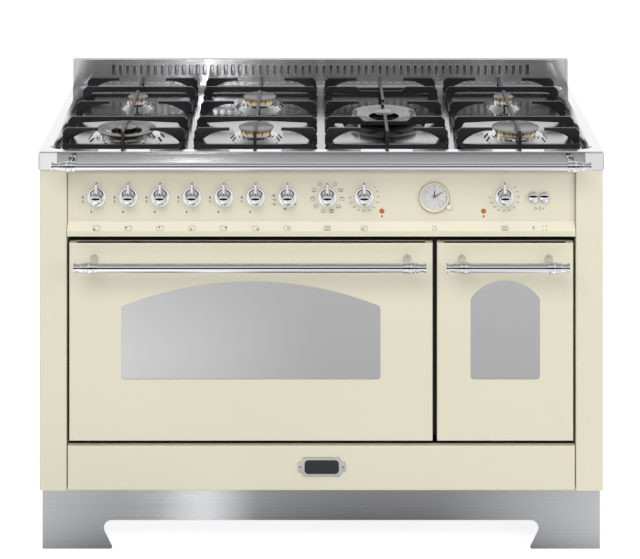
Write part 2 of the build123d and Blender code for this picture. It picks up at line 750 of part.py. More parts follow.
def hinge_notch(centre, width):
    """Clear the sweep of the fixed hinge arms from the back and bottom of a door piece."""
    depth = DOOR_THICKNESS - PIVOT_DEPTH + NOTCH_REACH
    height = PIVOT_RISE + NOTCH_REACH
    with Locations(
        [
            (centre + side * (width / 2 - HINGE_INSET), PIVOT_Y - NOTCH_REACH, DOOR_BOTTOM)
            for side in (-1, 1)
        ]
    ):
        Box(
            ARM_THICKNESS + 2 * HINGE_PLAY,
            depth,
            height,
            align=(Align.CENTER, Align.MIN, Align.MIN),
            mode=Mode.SUBTRACT,
        )


for door, centre, width, window_width, window_side, window_rise in DOORS:
    window_bottom = DOOR_BOTTOM + WINDOW_BOTTOM
    window_top = window_bottom + window_side + window_rise
    left = centre - window_width / 2
    right = centre + window_width / 2
    shoulder = window_bottom + window_side

    with BuildPart() as door_skin:
        with BuildSketch(upright(FACE)):
            with Locations((centre, DOOR_MIDDLE_Z)):
                Rectangle(width, DOOR_HEIGHT)
        extrude(amount=-SKIN_DEPTH)
        offset(amount=-SHEET, openings=door_skin.faces().sort_by(Axis.Y)[-1], kind=Kind.INTERSECTION)
        fillet(door_skin.faces().sort_by(Axis.Y)[0].outer_wire().edges(), radius=SKIN_EDGE_RADIUS)
        with BuildSketch(upright(FACE)) as window:
            with BuildLine():
                Polyline((left, shoulder), (left, window_bottom), (right, window_bottom), (right, shoulder))
                ThreePointArc((right, shoulder), (centre, window_top), (left, shoulder))
            make_face()
            fillet(window.vertices(), radius=WINDOW_CORNER)
        extrude(amount=-SHEET, mode=Mode.SUBTRACT)
        with BuildSketch(Plane.XY.offset(DOOR_TOP)):
            with Locations((centre, behind(FACE + VENT_FRONT + VENT_WIDTH / 2))):
                SlotOverall(width - 2 * VENT_END, VENT_WIDTH)
        extrude(amount=-SHEET, mode=Mode.SUBTRACT)
        hinge_notch(centre, width)
    save(door_skin, f"{door}_skin")

    with BuildPart() as door_glass:
        with BuildSketch(upright(FACE + SHEET)):
            with Locations((centre, (window_bottom + window_top) / 2)):
                Rectangle(window_width + 2 * GLASS_LAP, window_top - window_bottom + 2 * GLASS_LAP)
        extrude(amount=-GLASS)
        with BuildSketch(upright(FACE + DOOR_THICKNESS - SHEET)):
            with Locations((centre, (window_bottom + shoulder) / 2)):
                Rectangle(window_width + 2 * GLASS_LAP, window_side + 2 * GLASS_LAP)
        extrude(amount=GLASS)
    save(door_glass, f"{door}_glass")

    with BuildPart() as door_liner:
        with BuildSketch(upright(FACE + SKIN_DEPTH)):
            with Locations((centre, DOOR_MIDDLE_Z)):
                Rectangle(width - 2 * LINER_INSET, DOOR_HEIGHT - 2 * LINER_INSET)
        extrude(amount=-(DOOR_THICKNESS - SKIN_DEPTH))
        offset(amount=-SHEET, openings=door_liner.faces().sort_by(Axis.Y)[0], kind=Kind.INTERSECTION)
        with BuildSketch(upright(FACE + DOOR_THICKNESS)):
            with Locations((centre, (window_bottom + shoulder) / 2)):
                RectangleRounded(
                    window_width - 2 * INNER_WINDOW_MARGIN,
                    window_side - 2 * INNER_WINDOW_MARGIN,
                    WINDOW_CORNER,
                )
        extrude(amount=SHEET, mode=Mode.SUBTRACT)
        hinge_notch(centre, width)
        cheek_front = PIVOT_Y - NOTCH_REACH
        cheek_depth = behind(FACE + DOOR_THICKNESS - SHEET) - cheek_front
        cheek_foot = DOOR_BOTTOM + LINER_INSET + SHEET
        cheek_step = (ARM_THICKNESS + CHEEK_THICKNESS) / 2 + HINGE_PLAY
        with Locations(
            [
                (centre + side * (width / 2 - HINGE_INSET) + leaf * cheek_step, cheek_front, cheek_foot)
                for side in (-1, 1)
                for leaf in (-1, 1)
            ]
        ):
            Box(
                CHEEK_THICKNESS,
                cheek_depth,
                PIVOT_Z + CHEEK_TOP - cheek_foot,
                align=(Align.CENTER, Align.MIN, Align.MIN),
            )
        with Locations(
            [(centre + side * (width / 2 - HINGE_INSET), PIVOT_Y, PIVOT_Z) for side in (-1, 1)]
        ):
            Cylinder(
                PIN_RADIUS + PIN_PLAY,
                2 * (cheek_step + CHEEK_THICKNESS),
                rotation=(0, 90, 0),
                mode=Mode.SUBTRACT,
            )
    save(door_liner, f"{door}_liner")

# Door hinges: fixed arms on plates behind the front frame, each with a pin across its end
with BuildPart() as hinge_arms:
    for x in HINGE_XS:
        with BuildSketch(Plane.YZ.offset(x)):
            with Locations((PIVOT_Y, PIVOT_Z)):
                Circle(ARM_RADIUS)
            with Locations(((PIVOT_Y + behind(FRAME_BACK + ARM_TAIL)) / 2, PIVOT_Z)):
                Rectangle(behind(FRAME_BACK + ARM_TAIL) - PIVOT_Y, 2 * ARM_RADIUS)
            with Locations((PIVOT_Y, PIVOT_Z)):
                Circle(PIN_RADIUS, mode=Mode.SUBTRACT)
        extrude(amount=ARM_THICKNESS / 2, both=True)
        with BuildSketch(upright(FRAME_BACK)):
            with Locations((x, PIVOT_Z)):
                Rectangle(ARM_PLATE_WIDTH, ARM_PLATE_HEIGHT)
        extrude(amount=-FRAME_SHEET)
with BuildPart() as hinge_pins:
    with Locations([(x, PIVOT_Y, PIVOT_Z) for x in HINGE_XS]):
        Cylinder(PIN_RADIUS, ARM_THICKNESS + 2 * (HINGE_PLAY + CHEEK_THICKNESS), rotation=(0, 90, 0))
save_group((hinge_arms, hinge_pins), "door_hinges")


# Handles and hob rail: a turned bar with a finial at each end, held in two ring brackets
HANDLES = (
    ("large_door_handle", LARGE_X, HANDLE_Z, FACE, HANDLE_STANDOFF, LARGE_HANDLE_SPAN, HANDLE_RADIUS),
    ("small_door_handle", SMALL_X, HANDLE_Z, FACE, HANDLE_STANDOFF, SMALL_HANDLE_SPAN, HANDLE_RADIUS),
    ("hob_rail", 0, RAIL_Z, 0, RAIL_STANDOFF, RAIL_SPAN, RAIL_RADIUS),
)
for name, centre, z, seat, standoff, span, radius in HANDLES:
    y = behind(seat - standoff)
    collar_end = (span + RING_LENGTH) / 2
    ring_start = collar_end + FINIAL_GROOVE
    neck_start = ring_start + FINIAL_RING
    tip = collar_end + FINIAL_LENGTH
    lip_start = tip - FINIAL_LIP
    flange = radius + FINIAL_STEP
    with BuildPart() as bar:
        with BuildSketch(Plane(origin=(centre, y, z), x_dir=(1, 0, 0), z_dir=(0, -1, 0))):
            with BuildLine():
                Polyline(
                    (0, 0),
                    (0, radius),
                    (collar_end, radius),
                    (collar_end, radius - FINIAL_GROOVE),
                    (ring_start, radius - FINIAL_GROOVE),
                    (ring_start, flange),
                    (neck_start, flange),
                    (neck_start, radius),
                )
                ThreePointArc(
                    (neck_start, radius),
                    ((neck_start + lip_start) / 2, radius - FINIAL_STEP),
                    (lip_start, radius),
                )
                Polyline((lip_start, radius), (lip_start, flange), (tip, flange), (tip, 0), (0, 0))
            make_face()
        revolve(axis=Axis((centre, y, z), (1, 0, 0)))
        mirror(about=Plane.YZ.offset(centre))
    end = RING_LENGTH / 2
    waist = end - RING_BEAD
    bead = RING_RADIUS - RING_STEP
    groove = bead - RING_STEP
    with BuildPart() as brackets:
        for x in (centre - span / 2, centre + span / 2):
            with BuildSketch(Plane(origin=(x, y, z), x_dir=(1, 0, 0), z_dir=(0, -1, 0))):
                with BuildLine():
                    Polyline((waist, groove), (waist, bead), (end, bead), (end, 0), (-end, 0), (-end, bead))
                    Polyline((-end, bead), (-waist, bead), (-waist, groove))
                    ThreePointArc((-waist, groove), (0, RING_RADIUS), (waist, groove))
                make_face()
            revolve(axis=Axis((x, y, z), (1, 0, 0)))
            with BuildSketch(upright(seat)):
                with Locations((x, z)):
                    Circle(POST_RADIUS)
            extrude(amount=standoff)
            with BuildSketch(upright(seat)):
                with Locations((x, z)):
                    Circle(POST_FOOT_RADIUS)
            extrude(amount=POST_FOOT_LENGTH, taper=POST_FOOT_TAPER)
            with Locations((x, y, z)):
                Cylinder(radius, RING_LENGTH, rotation=(0, 90, 0), mode=Mode.SUBTRACT)
    save_group((bar, brackets), name)

# Drawer: folded front panel and an open steel box behind it
DRAWER_WIDTH = OPENING_WIDTH - 2 * DRAWER_SIDE_GAP
with BuildPart() as drawer_front:
    with BuildSketch(upright(FACE)):
        with Locations((0, PLINTH_HEIGHT + DRAWER_HEIGHT / 2)):
            Rectangle(DRAWER_WIDTH, DRAWER_HEIGHT)
    extrude(amount=-DRAWER_FRONT_DEPTH)
    offset(amount=-SHEET, openings=drawer_front.faces().sort_by(Axis.Y)[-1], kind=Kind.INTERSECTION)
    fillet(drawer_front.faces().sort_by(Axis.Y)[0].edges(), radius=SKIN_EDGE_RADIUS)
save(drawer_front, "drawer_front")

DRAWER_BACK_PLATE = FACE + DRAWER_FRONT_DEPTH
with BuildPart() as drawer_box:
    with BuildSketch(Plane.XY.offset(DRAWER_BOX_Z)):
        with Locations((0, behind(DRAWER_BACK_PLATE + DRAWER_BOX_DEPTH / 2))):
            Rectangle(DRAWER_BOX_WIDTH, DRAWER_BOX_DEPTH)
    extrude(amount=DRAWER_BOX_HEIGHT)
    offset(amount=-SHEET, openings=drawer_box.faces().sort_by(Axis.Z)[-1], kind=Kind.INTERSECTION)
    with BuildSketch(upright(DRAWER_BACK_PLATE)):
        with Locations((0, (DRAWER_BOX_Z + DRAWER_TOP) / 2)):
            Rectangle(DRAWER_WIDTH, DRAWER_TOP - DRAWER_BOX_Z)
    extrude(amount=-SHEET)
save(drawer_box, "drawer_box")

# Control panel: pressed sheet with an upright face and a lip that slopes forwards at the bottom
PANEL_WIDTH = OPENING_WIDTH - 2 * FASCIA_SIDE_GAP
LIP_Z = FASCIA_BOTTOM + FASCIA_LIP_RISE
FOLD_Z = LIP_Z + FASCIA_SLOPE_RISE
LAMP_Z = CONTROL_Z - LAMP_DROP
SETTER_X = CLOCK_X + SETTER_OFFSET[0]
SETTER_Z = CONTROL_Z + SETTER_OFFSET[1]
with BuildPart() as control_panel:
    with BuildSketch(Plane.YZ):
        Polygon(
            (behind(FASCIA_RECESS), FASCIA_TOP),
            (behind(FASCIA_RECESS), FOLD_Z),
            (behind(FACE), LIP_Z),
            (behind(FACE), FASCIA_BOTTOM),
            (behind(FASCIA_RECESS + FASCIA_DEPTH), FASCIA_BOTTOM),
            (behind(FASCIA_RECESS + FASCIA_DEPTH), FASCIA_TOP),
            align=None,
        )
    extrude(amount=PANEL_WIDTH / 2, both=True)
    offset(amount=-SHEET, openings=control_panel.faces().sort_by(Axis.Y)[-1], kind=Kind.INTERSECTION)
    with BuildSketch(upright(FASCIA_RECESS)):
        with Locations([(x, CONTROL_Z) for x in (*GAS_KNOB_XS, *ELECTRIC_XS)]):
            Circle(STEM_HOLE_RADIUS)
        with Locations([(x, CONTROL_Z) for x in BUTTON_XS]):
            Circle(BUTTON_RADIUS + BUTTON_PLAY)
        with Locations([(x, LAMP_Z) for x in LAMP_XS]):
            Circle(LAMP_RADIUS)
        with Locations((CLOCK_X, CONTROL_Z)):
            Circle(CLOCK_RADIUS - CLOCK_BEZEL)
        with Locations((SETTER_X, SETTER_Z)):
            Circle(SETTER_STEM_RADIUS + STEM_PLAY)
    extrude(amount=-SHEET, mode=Mode.SUBTRACT)
save(control_panel, "control_panel")

# Knobs: turned rosette that flares into a barrel with a lever and a domed nose, on a stem through the panel
KNOB_FACE_Y = behind(FASCIA_RECESS)
KNOBS = [(f"gas_knob_{i + 1}", x) for i, x in enumerate(GAS_KNOB_XS)]
KNOBS += [("function_knob", FUNCTION_KNOB_X)]
KNOBS += [("large_oven_knob", LARGE_KNOB_X), ("small_oven_knob", SMALL_KNOB_X)]
ROSETTE_FRONT = KNOB_PLAY + ROSETTE_THICKNESS
FLARE_RADIUS = ROSETTE_RADIUS - ROSETTE_RIM
FLARE_FRONT = ROSETTE_FRONT + FLARE_RADIUS - BARREL_RADIUS
BARREL_FRONT = LEVER_PROUD + 2 * LEVER_TIP_RADIUS
NOSE_BACK = BARREL_FRONT + BARREL_GROOVE
for name, x in KNOBS:
    with BuildPart() as knob:
        with BuildSketch(Plane(origin=(x, KNOB_FACE_Y, CONTROL_Z), x_dir=(1, 0, 0), z_dir=(0, 0, 1))):
            with BuildLine():
                Polyline(
                    (0, STEM_LENGTH),
                    (STEM_RADIUS, STEM_LENGTH),
                    (STEM_RADIUS, -KNOB_PLAY),
                    (ROSETTE_RADIUS, -KNOB_PLAY),
                    (ROSETTE_RADIUS, -ROSETTE_FRONT),
                    (FLARE_RADIUS, -ROSETTE_FRONT),
                )
                TangentArc((BARREL_RADIUS, -FLARE_FRONT), (FLARE_RADIUS, -ROSETTE_FRONT), tangent=(0, 1))
                Polyline(
                    (BARREL_RADIUS, -FLARE_FRONT),
                    (BARREL_RADIUS, -BARREL_FRONT),
                    (BARREL_RADIUS - BARREL_GROOVE, -BARREL_FRONT),
                    (BARREL_RADIUS - BARREL_GROOVE, -NOSE_BACK),
                    (KNOB_NOSE_RADIUS, -NOSE_BACK),
                    (KNOB_NOSE_RADIUS, -KNOB_LENGTH + KNOB_DOME),
                )
                TangentArc(
                    (0, -KNOB_LENGTH),
                    (KNOB_NOSE_RADIUS, -KNOB_LENGTH + KNOB_DOME),
                    tangent=(1, 0),
                )
                Line((0, -KNOB_LENGTH), (0, STEM_LENGTH))
            make_face()
        revolve(axis=Axis((x, KNOB_FACE_Y, CONTROL_Z), (0, 1, 0)))
        lever_length = LEVER_REACH - LEVER_TIP_RADIUS
        with Locations((x, KNOB_FACE_Y - LEVER_PROUD, CONTROL_Z)):
            Cone(
                LEVER_ROOT_RADIUS,
                LEVER_TIP_RADIUS,
                lever_length,
                align=(Align.CENTER, Align.CENTER, Align.MIN),
            )
            with Locations((0, 0, lever_length)):
                Sphere(LEVER_TIP_RADIUS)
    save(knob, name)

# Push buttons: domed caps sliding in sleeves behind the panel
for name, x in zip(("light_button", "spit_button"), BUTTON_XS):
    with BuildPart() as button:
        with BuildSketch(Plane(origin=(x, KNOB_FACE_Y, CONTROL_Z), x_dir=(1, 0, 0), z_dir=(0, 0, 1))):
            with BuildLine():
                Polyline(
                    (0, -BUTTON_PROUD - BUTTON_DOME),
                    (0, BUTTON_INSIDE),
                    (BUTTON_RADIUS, BUTTON_INSIDE),
                    (BUTTON_RADIUS, -BUTTON_PROUD),
                )
                TangentArc(
                    (0, -BUTTON_PROUD - BUTTON_DOME),
                    (BUTTON_RADIUS, -BUTTON_PROUD),
                    tangent=(1, 0),
                )
            make_face()
        revolve(axis=Axis((x, KNOB_FACE_Y, CONTROL_Z), (0, 1, 0)))
    save(button, name)

# Pilot lamps: domed amber lenses in the panel
with BuildPart() as pilot_lamps:
    for x in LAMP_XS:
        with BuildSketch(Plane(origin=(x, KNOB_FACE_Y, LAMP_Z), x_dir=(1, 0, 0), z_dir=(0, 0, 1))):
            with BuildLine():
                Polyline(
                    (0, -LAMP_PROUD),
                    (0, 2 * LAMP_PROUD),
                    (LAMP_RADIUS, 2 * LAMP_PROUD),
                    (LAMP_RADIUS, 0),
                )
                TangentArc((0, -LAMP_PROUD), (LAMP_RADIUS, 0), tangent=(1, 0))
            make_face()
        revolve(axis=Axis((x, KNOB_FACE_Y, LAMP_Z), (0, 1, 0)))
save(pilot_lamps, "pilot_lamps")

# Clock: bezel and movement case with a sunk dial and a spindle, two hands and a setting knob
DIAL_RADIUS = CLOCK_RADIUS - CLOCK_BEZEL
DIAL_Y = KNOB_FACE_Y
HOUR_Y = DIAL_Y - HAND_GAP
MINUTE_Y = HOUR_Y - HAND_THICKNESS - HAND_GAP
with BuildPart() as clock_case:
    with BuildSketch(Plane(origin=(CLOCK_X, KNOB_FACE_Y, CONTROL_Z), x_dir=(1, 0, 0), z_dir=(0, 0, 1))):
        with BuildLine():
            Polyline(
                (0, 0),
                (DIAL_RADIUS - CLOCK_WALL, 0),
                (DIAL_RADIUS - CLOCK_WALL, -CLOCK_PROUD + CLOCK_WALL),
                (DIAL_RADIUS, -CLOCK_PROUD),
                (CLOCK_RADIUS - CLOCK_WALL, -CLOCK_PROUD),
                (CLOCK_RADIUS, -CLOCK_PROUD + CLOCK_WALL),
                (CLOCK_RADIUS, 0),
                (DIAL_RADIUS, 0),
                (DIAL_RADIUS, CLOCK_DEPTH),
                (0, CLOCK_DEPTH),
                close=True,
            )
        make_face()
    revolve(axis=Axis((CLOCK_X, KNOB_FACE_Y, CONTROL_Z), (0, 1, 0)))
    with BuildSketch(Plane.XZ.offset(-DIAL_Y)):
        with Locations((CLOCK_X, CONTROL_Z)):
            Circle(CLOCK_SPINDLE_RADIUS)
    extrude(amount=2 * (HAND_THICKNESS + HAND_GAP))
save(clock_case, "clock_case")

HOUR_ANGLE = 360 * (CLOCK_HOUR % 12 + CLOCK_MINUTE / 60) / 12
MINUTE_ANGLE = 360 * CLOCK_MINUTE / 60
HANDS = (
    ("hour_hand", HOUR_Y, HOUR_HAND_LENGTH, HOUR_HAND_WIDTH, HOUR_ANGLE),
    ("minute_hand", MINUTE_Y, MINUTE_HAND_LENGTH, MINUTE_HAND_WIDTH, MINUTE_ANGLE),
)
for name, y, length, width, angle in HANDS:
    with BuildPart() as hand:
        with BuildSketch(Plane(origin=(CLOCK_X, y, CONTROL_Z), x_dir=(1, 0, 0), z_dir=(0, -1, 0))):
            with Locations(Location((0, 0), -angle)):
                Polygon(
                    (-width / 2, 0),
                    (width / 2, 0),
                    (width / 4, length),
                    (-width / 4, length),
                    align=None,
                )
            Circle(HAND_HUB_RADIUS)
            Circle(CLOCK_SPINDLE_RADIUS + STEM_PLAY, mode=Mode.SUBTRACT)
        extrude(amount=HAND_THICKNESS)
    save(hand, name)

with BuildPart() as clock_setter:
    with BuildSketch(Plane.XZ.offset(-(KNOB_FACE_Y - CLOCK_PROUD - KNOB_PLAY))):
        with Locations((SETTER_X, SETTER_Z)):
            Circle(SETTER_RADIUS)
    extrude(amount=SETTER_PROUD - CLOCK_PROUD)
    with BuildSketch(upright(FASCIA_RECESS + SETTER_STEM_LENGTH)):
        with Locations((SETTER_X, SETTER_Z)):
            Circle(SETTER_STEM_RADIUS)
    extrude(amount=SETTER_STEM_LENGTH + SETTER_PROUD)
save(clock_setter, "clock_setter")

# Gas rail: tube under the taps that turns back to the threaded inlet behind the rear panel
TAP_FRONT = FASCIA_BACK + TAP_GAP
TAP_BACK = TAP_FRONT + TAP_DEPTH
GAS_RAIL_DEPTH = (TAP_FRONT + TAP_BACK) / 2
with BuildPart() as gas_rail:
    with BuildLine():
        route = FilletPolyline(
            (GAS_KNOB_XS[-1] + TAP_WIDTH, behind(GAS_RAIL_DEPTH), GAS_RAIL_Z),
            (GAS_RAIL_END, behind(GAS_RAIL_DEPTH), GAS_RAIL_Z),
            (GAS_RAIL_END, behind(REAR_SKIN + SHEET), GAS_RAIL_Z),
            radius=GAS_RAIL_BEND,
        )
    with BuildSketch(Plane(origin=route @ 0, z_dir=route % 0)):
        Circle(GAS_RAIL_RADIUS)
    sweep()
    with BuildSketch(upright(REAR_SKIN + SHEET)):
        with Locations((GAS_RAIL_END, GAS_RAIL_Z)):
            Circle(INLET_RADIUS)
    extrude(amount=-INLET_LENGTH)
save(gas_rail, "gas_rail")

# Gas taps: brass bodies on the rail, each bored for its knob's stem
with BuildPart() as gas_taps:
    for x in GAS_KNOB_XS:
        with BuildSketch(upright(TAP_FRONT)):
            with Locations((x, CONTROL_Z)):
                Rectangle(TAP_WIDTH, TAP_HEIGHT)
        extrude(amount=-TAP_DEPTH)
        with BuildSketch(upright(TAP_FRONT)):
            with Locations((x, CONTROL_Z)):
                Circle(TAP_HEIGHT / 4)
        extrude(amount=TAP_GAP)
        with BuildSketch(upright(FASCIA_BACK)):
            with Locations((x, CONTROL_Z)):
                Circle(STEM_RADIUS + STEM_PLAY)
        extrude(amount=-(STEM_LENGTH + TAP_GAP), mode=Mode.SUBTRACT)
save(gas_taps, "gas_taps")

# Gas pipes: each runs back from its tap, across at its own depth, up, and back to its burner
PIPE_TOP = PAN_Z - HOB_SHEET - BURNER_BODY_DROP
PIPE_OFFSETS = (-PIPE_FIRST, None, PIPE_FIRST, -PIPE_FIRST, PIPE_FIRST, -PIPE_FIRST, 0)
PIPE_ORDER = (0, 1, 4, 3, 2, 1, 0)
with BuildPart() as gas_pipes:
    for x, burner, offset_x, order in zip(GAS_KNOB_XS, BURNERS, PIPE_OFFSETS, PIPE_ORDER):
        burner_x, burner_depth, cap = burner
        across = TAP_BACK + PIPE_FIRST + PIPE_PITCH * order
        climb = CONTROL_Z + PIPE_CLIMB
        end = x if offset_x is None else burner_x + offset_x
        sideways = [] if offset_x is None else [(x, behind(across), CONTROL_Z)]
        with BuildLine():
            route = FilletPolyline(
                (x, behind(TAP_BACK), CONTROL_Z),
                *sideways,
                (end, behind(across), CONTROL_Z),
                (end, behind(across), climb),
                (end, behind(burner_depth), climb),
                (end, behind(burner_depth), PIPE_TOP),
                radius=PIPE_BEND,
            )
        with BuildSketch(Plane(origin=route @ 0, z_dir=route % 0)):
            Circle(PIPE_RADIUS)
        sweep()
save(gas_pipes, "gas_pipes")

# Switch gear: function switch and thermostats on the panel's back, and a sleeve and switch for each button
with BuildPart() as switch_bodies:
    with BuildSketch(upright(FASCIA_BACK)):
        with Locations([(x, CONTROL_Z) for x in ELECTRIC_XS]):
            Rectangle(SWITCH_SIZE, SWITCH_SIZE)
    extrude(amount=-SWITCH_DEPTH)
    with BuildSketch(upright(FASCIA_BACK)):
        with Locations([(x, CONTROL_Z) for x in ELECTRIC_XS]):
            Circle(STEM_RADIUS + STEM_PLAY)
    extrude(amount=-STEM_LENGTH, mode=Mode.SUBTRACT)
    for x in BUTTON_XS:
        with BuildSketch(upright(FASCIA_BACK)):
            with Locations((x, CONTROL_Z)):
                Circle(BUTTON_RADIUS + BUTTON_PLAY + SLEEVE_WALL)
        extrude(amount=-SWITCH_DEPTH)
        with BuildSketch(upright(FASCIA_BACK)):
            with Locations((x, CONTROL_Z)):
                Circle(BUTTON_RADIUS + BUTTON_PLAY)
        extrude(amount=-(BUTTON_INSIDE + BUTTON_TRAVEL), mode=Mode.SUBTRACT)
save(switch_bodies, "switch_bodies")

# Terminal box: mains connection on the rear panel, with a cable gland facing backwards
with BuildPart() as terminal_box:
    with BuildSketch(upright(REAR_SKIN + SHEET)):
        with Locations((TERMINAL_X, TERMINAL_Z)):
            RectangleRounded(TERMINAL_WIDTH, TERMINAL_HEIGHT, SKIN_EDGE_RADIUS)
    extrude(amount=-TERMINAL_DEPTH / 2)
    with BuildSketch(upright(REAR_SKIN + SHEET)):
        with Locations((TERMINAL_X, TERMINAL_Z)):
            Circle(GLAND_RADIUS)
    extrude(amount=-TERMINAL_DEPTH)
    with BuildSketch(upright(REAR_SKIN + SHEET)):
        with Locations((TERMINAL_X, TERMINAL_Z)):
            Circle(GLAND_BORE)
    extrude(amount=-TERMINAL_DEPTH, mode=Mode.SUBTRACT)
save(terminal_box, "terminal_box")

# Hob top: pressed steel tray with a rounded rim, a sunk pan and a raised seat round each burner
HOB_MIDDLE = behind(HOB_DEPTH / 2)
PAN_LENGTH = HOB_DEPTH - HOB_RIM - HOB_REAR_LEDGE
SPARK_OFFSET = BURNER_FLANGE + SPARK_GAP + SPARK_RADIUS


def hob_form(skin):
    """Solid form of the hob, drawn in by the given skin on every outer face."""
    with BuildPart() as form:
        with BuildSketch(Plane.XY.offset(FASCIA_TOP)):
            with Locations((0, HOB_MIDDLE)):
                Rectangle(HOB_WIDTH - 2 * skin, HOB_DEPTH - 2 * skin)
        extrude(amount=APRON_HEIGHT - skin)
        fillet(form.edges().filter_by(Axis.Z), radius=HOB_CORNER - skin)
        fillet(form.faces().sort_by(Axis.Z)[-1].edges(), radius=HOB_EDGE_RADIUS - skin)
        with BuildSketch(Plane.XY.offset(HOB_TOP - skin)):
            with Locations((0, behind(HOB_RIM + PAN_LENGTH / 2))):
                RectangleRounded(HOB_WIDTH - 2 * HOB_RIM + skin, PAN_LENGTH + skin, PAN_CORNER)
        extrude(amount=-PAN_DROP, taper=PAN_SLOPE, mode=Mode.SUBTRACT)
        for x, depth, cap in BURNERS:
            with Locations((x, behind(depth), PAN_Z - skin)):
                Cone(
                    cap + SEAT_MARGIN + SEAT_SLOPE,
                    cap + SEAT_MARGIN,
                    SEAT_RISE,
                    align=(Align.CENTER, Align.CENTER, Align.MIN),
                )
    return form.part


with BuildPart() as hob_top:
    add(hob_form(0))
    add(hob_form(HOB_SHEET), mode=Mode.SUBTRACT)
    with BuildSketch(Plane.XY.offset(SEAT_Z)):
        for x, depth, cap in BURNERS:
            with Locations((x, behind(depth))):
                Circle(cap - BURNER_NECK + BURNER_PLAY)
                with PolarLocations(cap + SPARK_OFFSET, 1, start_angle=SPARK_ANGLE):
                    Circle(SPARK_RADIUS + SPARK_PLAY)
    extrude(amount=2 * HOB_SHEET, both=True, mode=Mode.SUBTRACT)
save(hob_top, "hob_top")

# Burner bodies: cast cups under the hob, each with a neck up through its seat and a base for the gas pipe
with BuildPart() as burner_bodies:
    for x, depth, cap in BURNERS:
        with BuildSketch(Plane.XY.offset(PIPE_TOP)):
            with Locations((x, behind(depth))):
                Circle(cap + BURNER_BASE)
        extrude(amount=BURNER_BASE_HEIGHT)
        with BuildSketch(Plane.XY.offset(PIPE_TOP)):
            with Locations((x, behind(depth))):
                Circle(cap - BURNER_NECK)
        extrude(amount=SEAT_Z - PIPE_TOP)
save(burner_bodies, "burner_bodies")

# Burner crowns: fluted port rings on a flange that rests on the seat, two on the triple and wok burners
CROWN_Z = SEAT_Z + BURNER_FLANGE_HEIGHT


def port_rings(cap):
    """Radius and height of each port ring on a burner with this cap."""
    if cap in RING_CAPS:
        return (cap, RING_CROWN_HEIGHT), (INNER_CAP_RADIUS, INNER_CROWN_HEIGHT)
    return ((cap, CROWN_HEIGHT),)


crowns = []
for x, depth, cap in BURNERS:
    with BuildPart() as crown:
        with BuildSketch(Plane.XY.offset(SEAT_Z)):
            with Locations((x, behind(depth))):
                Circle(cap + BURNER_FLANGE)
        extrude(amount=BURNER_FLANGE_HEIGHT)
        for width, height in port_rings(cap):
            rim = width - CROWN_LIP
            with Locations((x, behind(depth), CROWN_Z)):
                Cone(width * CROWN_FOOT, rim, height, align=(Align.CENTER, Align.CENTER, Align.MIN))
            for share, drop in ((PORTS_PER_MM, PORT_HEIGHT), (FLUTES_PER_MM, FLUTE_HEIGHT)):
                with BuildSketch(Plane.XY.offset(CROWN_Z + height)):
                    with Locations((x, behind(depth))):
                        with PolarLocations(rim, int(rim * share)):
                            Rectangle(2 * PORT_DEPTH, PORT_WIDTH)
                extrude(amount=-drop, mode=Mode.SUBTRACT)
            if width in RING_CAPS:
                with BuildSketch(Plane.XY.offset(CROWN_Z)):
                    with Locations((x, behind(depth))):
                        Circle(width * CROWN_FOOT - RING_WALL)
                extrude(amount=height, mode=Mode.SUBTRACT)
        with BuildSketch(Plane.XY.offset(SEAT_Z)):
            with Locations((x, behind(depth))):
                Circle(CROWN_BORE)
        extrude(amount=BURNER_FLANGE_HEIGHT + INNER_CROWN_HEIGHT, mode=Mode.SUBTRACT)
    crowns.append(crown)
save_group(crowns, "burner_crowns")

# Burner caps: enamelled discs with a bevelled edge, and dished rings on the triple and wok burners
caps = []
for x, depth, cap in BURNERS:
    for width, height in port_rings(cap):
        cap_seat = (x, behind(depth), CROWN_Z + height)
        fold = width * CROWN_FOOT - RING_WALL
        with BuildPart() as burner_cap:
            with BuildSketch(Plane(origin=cap_seat, x_dir=(1, 0, 0), z_dir=(0, -1, 0))):
                if width in RING_CAPS:
                    Polygon(
                        (width, 0),
                        (width, CAP_EDGE),
                        (width - CAP_EDGE, RING_CAP_HEIGHT),
                        (width - CAP_BEVEL, RING_CAP_HEIGHT),
                        (fold, CAP_EDGE),
                        (RING_HOLE, CAP_EDGE - DISH_DROP),
                        (RING_HOLE, CAP_EDGE - DISH_DROP - RING_CAP_SHEET),
                        (fold, 0),
                        align=None,
                    )
                else:
                    Polygon(
                        (0, 0),
                        (width, 0),
                        (width, CAP_EDGE),
                        (width - CAP_BEVEL, CAP_HEIGHT),
                        (0, CAP_HEIGHT),
                        align=None,
                    )
            revolve(axis=Axis(cap_seat, (0, 0, 1)))
        caps.append(burner_cap)
save_group(caps, "burner_caps")

# Spark plugs: ceramic rods that stand up through the seats beside the crowns
with BuildPart() as spark_plugs:
    for x, depth, cap in BURNERS:
        with Locations((x, behind(depth), PAN_Z)):
            with PolarLocations(cap + SPARK_OFFSET, 1, start_angle=SPARK_ANGLE):
                Cylinder(
                    SPARK_RADIUS,
                    SEAT_RISE + SPARK_HEIGHT,
                    align=(Align.CENTER, Align.CENTER, Align.MIN),
                )
save(spark_plugs, "spark_plugs")

# Pan supports: cast frames with raised fingers and cross bars; the third carries the wok burner
GRATE_MIDDLE = behind((GRATE_FRONT + GRATE_REAR) / 2)
GRATE_LENGTH = GRATE_REAR - GRATE_FRONT
FRAME_Z = PAN_Z + GRATE_FRAME_LIFT
PAN_PLANE = HOB_TOP + GRATE_TOP
WEDGE_Z = FRAME_Z + GRATE_FRAME_HEIGHT
WOK_GRATE = 2


